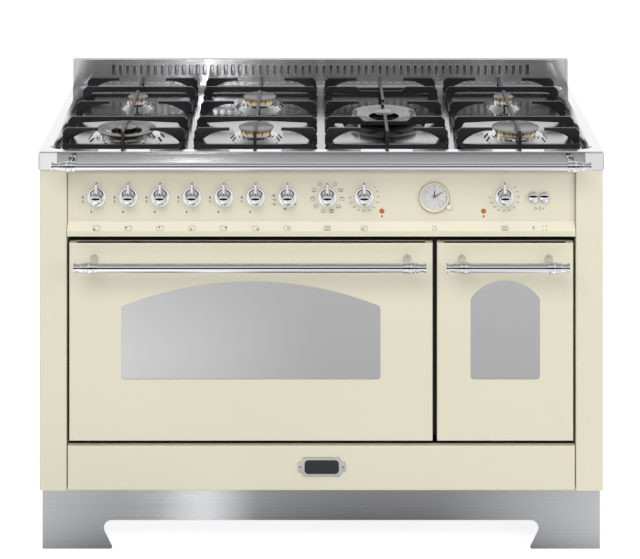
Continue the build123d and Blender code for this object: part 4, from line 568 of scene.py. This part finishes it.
for name in ("function_knob", "small_oven_knob"):
    across = knob_axis(name)[0]
    frame_mark(band_marks, across, 0.0, *SYMBOL_SIZE, OVEN_CORNER)
    for y in (-OVEN_BAR_RISE, OVEN_BAR_RISE):
        bar(band_marks, across, y, *OVEN_BAR)
across = knob_axis("large_oven_knob")[0]
frame_mark(band_marks, across, 0.0, *SYMBOL_SIZE, OVEN_CORNER)
for x, y, radius in HEAT_DOTS:
    dot(band_marks, across + x, y, radius)
clock_low, clock_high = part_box("clock_case")
clock_x = (clock_low.x + clock_high.x) / 2
clock_z = (clock_low.z + clock_high.z) / 2
ring_mark(band_marks, clock_x, 0.0, CLOCK_RING)
for x, y, width, height in CLOCK_HANDS:
    bar(band_marks, clock_x + x, y, width, height)
light_x = (light_low.x + light_high.x) / 2
ring_mark(band_marks, light_x, -BULB_DROP, BULB_RING)
bar(band_marks, light_x, BULB_CAP_RISE, *BULB_CAP)
spit_x = (spit_low.x + spit_high.x) / 2
for side in (-1, 1):
    for end in (-1, 1):
        upright = (spit_x + side * SPIT_UPRIGHT[0], end * SPIT_UPRIGHT[1])
        bar(band_marks, *upright, INK_LINE, SPIT_UPRIGHT_LENGTH)
        crosswise = (spit_x + side * SPIT_CROSSWISE[0], end * SPIT_CROSSWISE[1])
        bar(band_marks, *crosswise, SPIT_CROSSWISE_LENGTH, INK_LINE)
thicken(band_marks, INK_DEPTH)
band_up = BAND_HEAD - BAND_FOOT
band_out = Vector((0.0, -band_up.z, band_up.y))
band_place = facing(BAND_FOOT + band_up * BAND_ROW, band_out, band_up)
new_piece("band_marks", band_marks, ink, "cabinet", band_place)


# Knobs and buttons: turned brass, nickelled and chromium-plated, pressed on their spindles.
# The clock's small setting knob is plated in the same way.
dress(chrome, "light_button", "spit_button", "function_knob", "clock_setter", *OVEN_KNOBS, *GAS_KNOBS)


# Clock: enamelled bezel ringed by a thin olive bead that is painted shade, a silvered dial with printed
# figures, and black hands.
# The bead paints the shadow at the bezel's edge; the dial is a thin disc on the movement.
DIAL_RADIUS = 0.0265
DIAL_THICKNESS = 0.00025
DIAL_STEPS = 64
HUB_RADIUS = 0.0018
HOUR_STEP = 30.0
HOUR_BAR = (0.0008, 0.0030)
HOUR_BAR_REACH = 0.0240
HOUR_FIGURE = 0.0050
HOUR_FIGURE_REACH = 0.0196
SHADE_RING_RADIUS = 0.0318
SHADE_RING_BEAD = 0.0008
BEAD_SIDES = 10
SHADE_RING_RISE = 0.0056
SHADE_RING_STEPS = 72
SEAM_REACH = 0.00001
DIAL_PROFILE = (
    (HUB_RADIUS, 0.0),
    (HUB_RADIUS, DIAL_THICKNESS),
    (DIAL_RADIUS, DIAL_THICKNESS),
    (DIAL_RADIUS, 0.0),
)


def spin_round(form, steps):
    """Spin all the edges of a form once round the Z axis and close the seam."""
    bmesh.ops.spin(
        form,
        geom=[*form.verts, *form.edges],
        axis=(0.0, 0.0, 1.0),
        cent=(0.0, 0.0, 0.0),
        angle=2 * math.pi,
        steps=steps,
        use_merge=True,
    )
    bmesh.ops.remove_doubles(form, verts=form.verts[:], dist=SEAM_REACH)


clock_place = facing((clock_x, PANEL_FACE_Y, clock_z), FRONT)
dial = bmesh.new()
corners = [dial.verts.new((reach, 0.0, rise)) for reach, rise in DIAL_PROFILE]
for ends in zip(corners, corners[1:]):
    dial.edges.new(ends)
spin_round(dial, DIAL_STEPS)
dial_silver = new_finish("dial_silver", (0.70, 0.68, 0.69), 0.35, 0.38)
vary(dial_silver, grain(dial_silver, 400.0, detail=2.0), "Roughness", 0.32, 0.46)
vary(dial_silver, grain(dial_silver, 40.0, detail=1.0), "Base Color", (0.62, 0.60, 0.61), (0.74, 0.71, 0.73))
new_piece("clock_dial", dial, dial_silver, "cabinet", clock_place)

dial_marks = bmesh.new()
for hour in range(12):
    degrees = HOUR_STEP * hour
    x, y = round_knob((0.0, 0.0), HOUR_BAR_REACH, degrees)
    bar(dial_marks, x, y, *HOUR_BAR, -math.radians(degrees))
    x, y = round_knob((0.0, 0.0), HOUR_FIGURE_REACH, degrees)
    figure(dial_marks, str(hour or 12), x, y, HOUR_FIGURE)
thicken(dial_marks, INK_DEPTH)
dial_ink = new_finish("dial_ink", (0.22, 0.21, 0.22), 0.0, 0.5)
vary(dial_ink, grain(dial_ink, 600.0), "Base Color", (0.18, 0.17, 0.18), (0.28, 0.27, 0.28))
dial_top = clock_place @ at(0.0, 0.0, DIAL_THICKNESS)
new_piece("dial_marks", dial_marks, dial_ink, "cabinet", dial_top)

# Painted shade: a thin olive bead round the bezel's edge stands for its shadow.
shade_bead = bmesh.new()
bead_place = at(SHADE_RING_RADIUS, 0.0, SHADE_RING_RISE) @ Matrix.Rotation(math.pi / 2, 4, "X")
bmesh.ops.create_circle(shade_bead, cap_ends=False, segments=BEAD_SIDES, radius=SHADE_RING_BEAD, matrix=bead_place)
spin_round(shade_bead, SHADE_RING_STEPS)
painted_shade_ring = new_finish("painted_shade_ring", (0.40, 0.36, 0.25), 0.6, 0.35)
vary(painted_shade_ring, grain(painted_shade_ring, 300.0), "Roughness", 0.28, 0.45)
new_piece("clock_shade_ring", shade_bead, painted_shade_ring, "cabinet", clock_place)

hand_black = new_finish("hand_black", (0.02, 0.018, 0.02), 0.0, 0.4)
vary(hand_black, grain(hand_black, 400.0), "Roughness", 0.35, 0.5)
dress(hand_black, "hour_hand", "minute_hand")


# Pilot lamps: one beside each thermostat, lit while its oven heats.
# The lenses are moulded in amber plastic and snapped into the panel.
amber = new_finish("amber_lens", (0.50, 0.12, 0.018), 0.0, 0.2)
vary(amber, grain(amber, 300.0), "Roughness", 0.14, 0.3)
vary(amber, grain(amber, 120.0), "Base Color", (0.46, 0.10, 0.014), (0.56, 0.14, 0.022))
dress(amber, "pilot_lamps")


# Gas train and switch gear: brass taps on a steel rail, drawn burner tubes, and black moulded bodies.
# All of it is fixed behind the control panel, under the hob and, for the terminals, on the rear panel.
brass = new_finish("brass", (0.70, 0.50, 0.20), 1.0, 0.3)
vary(brass, grain(brass, 120.0), "Roughness", 0.25, 0.4)
dress(brass, "gas_taps")

tube = new_finish("drawn_tube", (0.74, 0.74, 0.75), 1.0, 0.3)
vary(tube, grain(tube, 120.0), "Roughness", 0.25, 0.4)
dress(tube, "gas_pipes", "gas_rail")

moulding = new_finish("moulding", (0.02, 0.02, 0.02), 0.0, 0.5)
relief(moulding, grain(moulding, 900.0), 0.2, 0.0002)
vary(moulding, grain(moulding, 30.0), "Roughness", 0.45, 0.6)
dress(moulding, "switch_bodies", "terminal_box")


# Hob top: one stainless pressing with a sunk pan and a raised seat round each burner, the wok's seat black.
# The top is smoother than the brushed apron. Painted light sets its tones: the rim is lighter than the pan as
# a painted reflection, and the apron is darker as painted shade between ends made lighter as painted
# reflections.
APRON_FROM = -0.2656
APRON_TO = -0.2650
CORNER_FROM = 0.5590
CORNER_TO = 0.5600
PAN_LEVEL = 0.8440
RIM_LEVEL = 0.8485
WOK_SEAT = (0.14225, 0.0, 0.842)
WOK_SEAT_REACH = 0.0932


def blend(finish, share, low, high):
    """Mix two colours, each even or from another node, by a share from 0 to 1."""
    mix = finish.node_tree.nodes.new("ShaderNodeMix")
    mix.data_type = "RGBA"
    # The mix node names its sockets alike for every data type; 6 and 7 in and 2 out are the colours.
    finish.node_tree.links.new(share, mix.inputs[0])
    for socket, colour in zip(mix.inputs[6:8], (low, high)):
        if isinstance(colour, tuple):
            socket.default_value = (*colour, 1.0)
        else:
            finish.node_tree.links.new(colour, socket)
    return mix.outputs[2]


def along(finish, axis, start, stop):
    """Share from 0 to 1 between two places along an axis of the piece."""
    nodes = finish.node_tree.nodes
    links = finish.node_tree.links
    axes = nodes.new("ShaderNodeSeparateXYZ")
    span = nodes.new("ShaderNodeMapRange")
    span.inputs["From Min"].default_value = start
    span.inputs["From Max"].default_value = stop
    links.new(nodes.new("ShaderNodeTexCoord").outputs["Object"], axes.inputs["Vector"])
    links.new(axes.outputs[axis], span.inputs["Value"])
    return span.outputs["Result"]


def within(finish, centre, reach):
    """1 inside a reach about a point of the piece, 0 outside it."""
    nodes = finish.node_tree.nodes
    links = finish.node_tree.links
    away = nodes.new("ShaderNodeVectorMath")
    away.operation = "DISTANCE"
    away.inputs[1].default_value = centre
    inside = nodes.new("ShaderNodeMath")
    inside.operation = "LESS_THAN"
    inside.inputs[1].default_value = reach
    links.new(nodes.new("ShaderNodeTexCoord").outputs["Object"], away.inputs[0])
    links.new(away.outputs["Value"], inside.inputs[0])
    return inside.outputs["Value"]


hob_steel = new_finish("hob_steel", (0.80, 0.80, 0.81), 1.0, 0.14)
roll_lines = grain(hob_steel, 60.0, (0.03, 8.0, 8.0), 5.0)
top_smooth_and_lit = along(hob_steel, "Y", APRON_FROM, APRON_TO)
# Painted light: the apron's tone is darker as painted shade, and lighter at both ends as painted reflections.
apron_painted_tone = blend(hob_steel, roll_lines, (0.31, 0.31, 0.32), (0.41, 0.41, 0.42))
for start, stop in ((CORNER_FROM, CORNER_TO), (-CORNER_FROM, -CORNER_TO)):
    apron_painted_tone = blend(hob_steel, along(hob_steel, "X", start, stop), apron_painted_tone, (0.80, 0.80, 0.81))
on_rim = along(hob_steel, "Z", PAN_LEVEL, RIM_LEVEL)
# Painted reflection: the rim is lighter than the pan.
top_painted_tone = blend(hob_steel, on_rim, (0.52, 0.52, 0.53), (0.90, 0.90, 0.91))
hob_tone = blend(hob_steel, top_smooth_and_lit, apron_painted_tone, top_painted_tone)
black_seat = within(hob_steel, WOK_SEAT, WOK_SEAT_REACH)
hob_tone = blend(hob_steel, black_seat, hob_tone, (0.010, 0.010, 0.010))
vary(hob_steel, black_seat, "Metallic", 1.0, 0.0, 0.0, 1.0)
feed(hob_steel, hob_tone, "Base Color")
vary(hob_steel, top_smooth_and_lit, "Roughness", 0.22, 0.11, 0.0, 1.0)
brush(hob_steel, 0.9)
dress(hob_steel, "hob_top")


# Burners: machined crowns, bright below and heat-toned gold at the ports, with black enamelled caps whose
# grey tone is a painted sheen.
# The wok burner's body is black and its dish dark satin steel; each burner has a white ceramic spark plug.
WOK_CENTRE = (0.14225, 0.0, 0.855)
WOK_REACH = 0.086
GOLD_FROM = 0.8548
GOLD_TO = 0.8562


def joined(tree, operation, first, second):
    """Join two values, or a value and a number, by a sum of the given kind."""
    step = tree.nodes.new("ShaderNodeMath")
    step.operation = operation
    for socket, part in zip(step.inputs, (first, second)):
        if isinstance(part, float):
            socket.default_value = part
        else:
            tree.links.new(part, socket)
    return step.outputs["Value"]


crown_metal = new_finish("crown_metal", (0.70, 0.69, 0.66), 1.0, 0.16)
heat = along(crown_metal, "Z", GOLD_FROM, GOLD_TO)
wok = within(crown_metal, WOK_CENTRE, WOK_REACH)
body_tone = blend(crown_metal, wok, (0.70, 0.69, 0.67), (0.012, 0.012, 0.012))
feed(crown_metal, blend(crown_metal, heat, body_tone, (0.60, 0.36, 0.08)), "Base Color")
blackened = joined(crown_metal.node_tree, "SUBTRACT", wok, heat)
vary(crown_metal, blackened, "Metallic", 1.0, 0.0, 0.0, 1.0)
vary(crown_metal, grain(crown_metal, 200.0), "Roughness", 0.10, 0.22)
dress(crown_metal, "burner_crowns", "burner_bodies")

# The caps' enamel is black; their grey tone is a painted sheen.
cap_enamel = new_finish("cap_enamel", (0.19, 0.19, 0.195), 0.0, 0.22)
dish = within(cap_enamel, WOK_CENTRE, WOK_REACH)
vary(cap_enamel, dish, "Base Color", (0.19, 0.19, 0.195), (0.27, 0.27, 0.28), 0.0, 1.0)
vary(cap_enamel, dish, "Metallic", 0.0, 1.0, 0.0, 1.0)
vary(cap_enamel, grain(cap_enamel, 90.0), "Roughness", 0.17, 0.28)
relief(cap_enamel, grain(cap_enamel, 700.0), 0.04, 0.0001)
dress(cap_enamel, "burner_caps")

ceramic = new_finish("ceramic", (0.85, 0.84, 0.80), 0.0, 0.2)
vary(ceramic, grain(ceramic, 150.0), "Roughness", 0.15, 0.3)
dress(ceramic, "spark_plugs")


# Pan supports: four grids of sand-cast iron, slightly pitted, with black satin enamel.
# They stand loose on the hob and lift off for cleaning.
SUPPORTS = [f"pan_support_{place}" for place in range(1, 5)]
cast_iron = new_finish("cast_iron", (0.011, 0.011, 0.012), 0.0, 0.36)
sand = grain(cast_iron, 600.0, detail=3.0)
vary(cast_iron, sand, "Roughness", 0.28, 0.46)
vary(cast_iron, grain(cast_iron, 20.0), "Base Color", (0.009, 0.009, 0.010), (0.016, 0.016, 0.017))
relief(cast_iron, sand, 0.25, 0.0004)
dress(cast_iron, *SUPPORTS)


# Hob rail: chromium-plated tube along the front of the hob.
# Two collared brackets on the apron carry it.
dress(chrome, "hob_rail")


# Backguard: folded stainless upstand with a row of upright vents, each edged by a raised lip painted lighter
# than the guard as a painted highlight.
# A row of small slots along its foot lets the heat out behind the hob.
VENT_COUNT = 58
VENT_PITCH = 0.017
VENT_SIZE = (0.0085, 0.025)
VENT_SIDES = 12
VENT_Z = 0.8844
VENT_LIP = 0.0009
VENT_PROUD = 0.0007
guard_steel = new_finish("guard_steel", (0.64, 0.64, 0.65), 0.84, 0.21)
guard_lines = grain(guard_steel, 60.0, (0.03, 8.0, 8.0), 5.0)
vary(guard_steel, guard_lines, "Base Color", (0.60, 0.60, 0.61), (0.68, 0.68, 0.69))
vary(guard_steel, guard_lines, "Roughness", 0.19, 0.23)
brush(guard_steel, 1.0)
dress(guard_steel, "backguard")

guard_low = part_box("backguard")[0]
vent_radius = VENT_SIZE[0] / 2 + VENT_LIP
half_straight = (VENT_SIZE[1] - VENT_SIZE[0]) / 2
vent_turn = Matrix.Rotation(math.pi / VENT_SIDES, 4, "Z")
vents = bmesh.new()
for place in range(VENT_COUNT):
    across = (place - (VENT_COUNT - 1) / 2) * VENT_PITCH
    vent = bmesh.ops.create_circle(
        vents,
        cap_ends=True,
        segments=VENT_SIDES,
        radius=vent_radius,
        matrix=vent_turn,
    )["verts"]
    for corner in vent:
        corner.co.y += math.copysign(half_straight, corner.co.y)
        corner.co.x += across
    hollow(vents, vent[0].link_faces[0], VENT_LIP)
thicken(vents, VENT_PROUD)
# The lips' lighter tone is a painted highlight along each vent's edge.
vent_lip_highlight = new_finish("vent_lip_highlight", (0.80, 0.80, 0.81), 0.7, 0.18)
vary(vent_lip_highlight, grain(vent_lip_highlight, 200.0), "Roughness", 0.14, 0.24)
guard_face = facing((0.0, guard_low.y, VENT_Z), FRONT)
new_piece("vent_edges", vents, vent_lip_highlight, "cabinet", guard_face)


# Studio floor: a white sheet. The camera sees it white, and it keeps the cooker's shadow.
# In reflections it is a pool of light before the cooker, weaker towards the camera and under the plinth.
FLOOR_SIZE = 24.0
FLOOR_TONE = (0.60, 0.60, 0.60)
FLOOR_GLOW = 0.80
FLOOR_LEVEL = 0.95
FLOOR_SPOTS = (
    ((0.0, -2.60), (4.0, 1.6), 0.25),
    ((-0.75, -1.30), (0.75, 0.85), 0.85),
    ((0.08, -0.30), (0.90, 0.5), -0.80),
    ((0.0, -0.20), (1.1, 0.16), -0.70),
    ((-0.25, -0.40), (0.11, 0.36), 1.05),
    ((-0.80, -0.40), (0.36, 0.36), 0.80),
    ((0.80, -0.40), (0.55, 0.36), 1.25),
)


def stage_sheet(name, finish, width, height, place):
    """Flat sheet of the studio, drawn in XY and set by a matrix."""
    form = bmesh.new()
    sheet_scale = Matrix.Diagonal((width, height, 1.0, 1.0))
    bmesh.ops.create_grid(form, x_segments=1, y_segments=1, size=0.5, matrix=place @ sheet_scale)
    mesh = bpy.data.meshes.new(name)
    form.to_mesh(mesh)
    form.free()
    mesh.materials.append(finish)
    sheet = bpy.data.objects.new(name, mesh)
    bpy.context.collection.objects.link(sheet)
    return sheet


def ray_kinds(tree):
    """Share of rays that come from a mirror or through glass, and of those from the camera."""
    path = tree.nodes.new("ShaderNodeLightPath").outputs
    return joined(tree, "MAXIMUM", path["Is Glossy Ray"], path["Is Transmission Ray"]), path["Is Camera Ray"]


floor_paint = new_finish("floor_paint", FLOOR_TONE, 0.0, 0.9)
floor_tree = floor_paint.node_tree
mirrored, seen = ray_kinds(floor_tree)
vary(floor_paint, mirrored, "Base Color", FLOOR_TONE, (0.0, 0.0, 0.0), 0.0, 1.0)
floor_place = floor_tree.nodes.new("ShaderNodeTexCoord")
pool = FLOOR_LEVEL
for centre, reach, strength in FLOOR_SPOTS:
    spot_place = floor_tree.nodes.new("ShaderNodeMapping")
    spot_place.inputs["Location"].default_value = (-centre[0] / reach[0], -centre[1] / reach[1], 0.0)
    spot_place.inputs["Scale"].default_value = (1 / reach[0], 1 / reach[1], 1.0)
    spot = floor_tree.nodes.new("ShaderNodeTexGradient")
    spot.gradient_type = "SPHERICAL"
    floor_tree.links.new(floor_place.outputs["Object"], spot_place.inputs["Vector"])
    floor_tree.links.new(spot_place.outputs["Vector"], spot.inputs["Vector"])
    pool = joined(floor_tree, "ADD", pool, joined(floor_tree, "MULTIPLY", spot.outputs["Fac"], strength))
pool = joined(floor_tree, "MULTIPLY", joined(floor_tree, "MAXIMUM", pool, 0.0), mirrored)
floor_light = joined(floor_tree, "ADD", pool, joined(floor_tree, "MULTIPLY", seen, FLOOR_GLOW))
even(floor_paint, Emission_Color=(1.0, 1.0, 1.0, 1.0))
feed(floor_paint, floor_light, "Emission Strength")
stage_sheet("floor", floor_paint, FLOOR_SIZE, FLOOR_SIZE, Matrix.Identity(4))


# Studio surround: white all round, with a darker ceiling in reflections.
# A dark card stands behind the camera, for the dark lines in the chrome; it casts no shadow.
ROOM_LEVEL = 0.57
WALL_LEVEL = 1.0
CEILING_LEVEL = 0.34
WALL_TOP = 0.68
CEILING_FROM = 0.95
CARD_Y = -7.0
CARD_SIZE = (40.0, 4.5)
CARD_FOOT = 0.3
world = bpy.context.scene.world or bpy.data.worlds.new("studio")
bpy.context.scene.world = world
world.use_nodes = True
room_tree = world.node_tree
surround = room_tree.nodes["Background"]
surround.inputs["Color"].default_value = (1.0, 1.0, 1.0, 1.0)
room_place = room_tree.nodes.new("ShaderNodeTexCoord")
room_axes = room_tree.nodes.new("ShaderNodeSeparateXYZ")
room_tree.links.new(room_place.outputs["Generated"], room_axes.inputs["Vector"])
wall = room_tree.nodes.new("ShaderNodeMapRange")
wall.inputs["From Min"].default_value = WALL_TOP
wall.inputs["From Max"].default_value = CEILING_FROM
wall.inputs["To Min"].default_value = WALL_LEVEL
wall.inputs["To Max"].default_value = CEILING_LEVEL
room_tree.links.new(room_axes.outputs["Z"], wall.inputs["Value"])
mirrored, seen = ray_kinds(room_tree)
level = room_tree.nodes.new("ShaderNodeMapRange")
level.inputs["To Min"].default_value = ROOM_LEVEL
room_tree.links.new(mirrored, level.inputs["Value"])
room_tree.links.new(wall.outputs["Result"], level.inputs["To Max"])
room_tree.links.new(joined(room_tree, "MAXIMUM", level.outputs["Result"], seen), surround.inputs["Strength"])

card_cloth = new_finish("card_cloth", (0.012, 0.012, 0.012), 0.0, 0.9)
card_place = facing((0.0, CARD_Y, CARD_FOOT + CARD_SIZE[1] / 2), BACK)
card = stage_sheet("camera_card", card_cloth, *CARD_SIZE, card_place)
card.visible_camera = False
card.visible_diffuse = False
card.visible_shadow = False


# Lamps: three large soft lamps that no reflection shows, and a narrow upright strip left of the camera.
# The strip lights only the plinth, hob top and backguard, where it draws the bright streak of brushed steel.
SOFT_LAMPS = (
    ("key_lamp", (-0.7, -3.4, 3.5), (0.0, -0.2, 0.6), (2.8, 1.8), 75.0),
    ("fill_lamp", (2.6, -3.0, 2.0), (0.0, 0.0, 0.4), (2.4, 2.0), 38.0),
    ("top_lamp", (0.0, -0.6, 3.4), (0.0, -0.1, 0.8), (3.0, 1.6), 32.0),
)
STRIP_LAMP = ("strip_lamp", (-0.49, -3.6, 1.45), (-0.49, 0.0, 1.45), (0.10, 2.9), 13.0)
STRIP_LIT = ("plinth", "hob_top", "backguard", "vent_edges")


def soft_lamp(name, place, aim, size, watts):
    """Rectangular soft lamp at place, facing aim."""
    light = bpy.data.lights.new(name, "AREA")
    light.shape = "RECTANGLE"
    light.size, light.size_y = size
    light.energy = watts
    lamp = bpy.data.objects.new(name, light)
    lamp.location = place
    lamp.rotation_euler = (Vector(aim) - Vector(place)).to_track_quat("-Z", "Y").to_euler()
    lamp.visible_camera = False
    lamp.visible_glossy = False
    bpy.context.collection.objects.link(lamp)
    return lamp


for lamp_facts in SOFT_LAMPS:
    soft_lamp(*lamp_facts)
strip_lamp = soft_lamp(*STRIP_LAMP)
strip_lamp.visible_glossy = True
strip_lit = bpy.data.collections.new("strip_lit")
for name in STRIP_LIT:
    strip_lit.objects.link(bpy.data.objects[name])
strip_lamp.light_linking.receiver_collection = strip_lit


# Camera: square on and from above, with a rising-front lens, so upright lines stay upright.
# The mount carries that lens rise as a slant of the view axis, which is given in pixels of the photograph.
CAMERA_PLACE = (-0.0128, -4.239, 1.979)
VIEW_AXIS = Vector((4.8, 1877.0, -661.0))
PHOTO_WIDTH = 640
SENSOR_WIDTH = 36.0
camera_data = bpy.data.cameras.new("camera")
camera_data.sensor_width = SENSOR_WIDTH
camera_data.lens = VIEW_AXIS.length / PHOTO_WIDTH * SENSOR_WIDTH
camera = bpy.data.objects.new("camera", camera_data)
mount = bpy.data.objects.new("camera_mount", None)
bpy.context.collection.objects.link(camera)
bpy.context.collection.objects.link(mount)
back = -VIEW_AXIS.normalized()
slant = Matrix(((1.0, 0.0, back.x), (0.0, 0.0, back.y), (0.0, 1.0, back.z))).to_4x4()
camera.parent = mount
camera.matrix_parent_inverse = Matrix.Translation(CAMERA_PLACE) @ slant
bpy.context.scene.camera = camera

bpy.context.scene.view_settings.view_transform = "Standard"
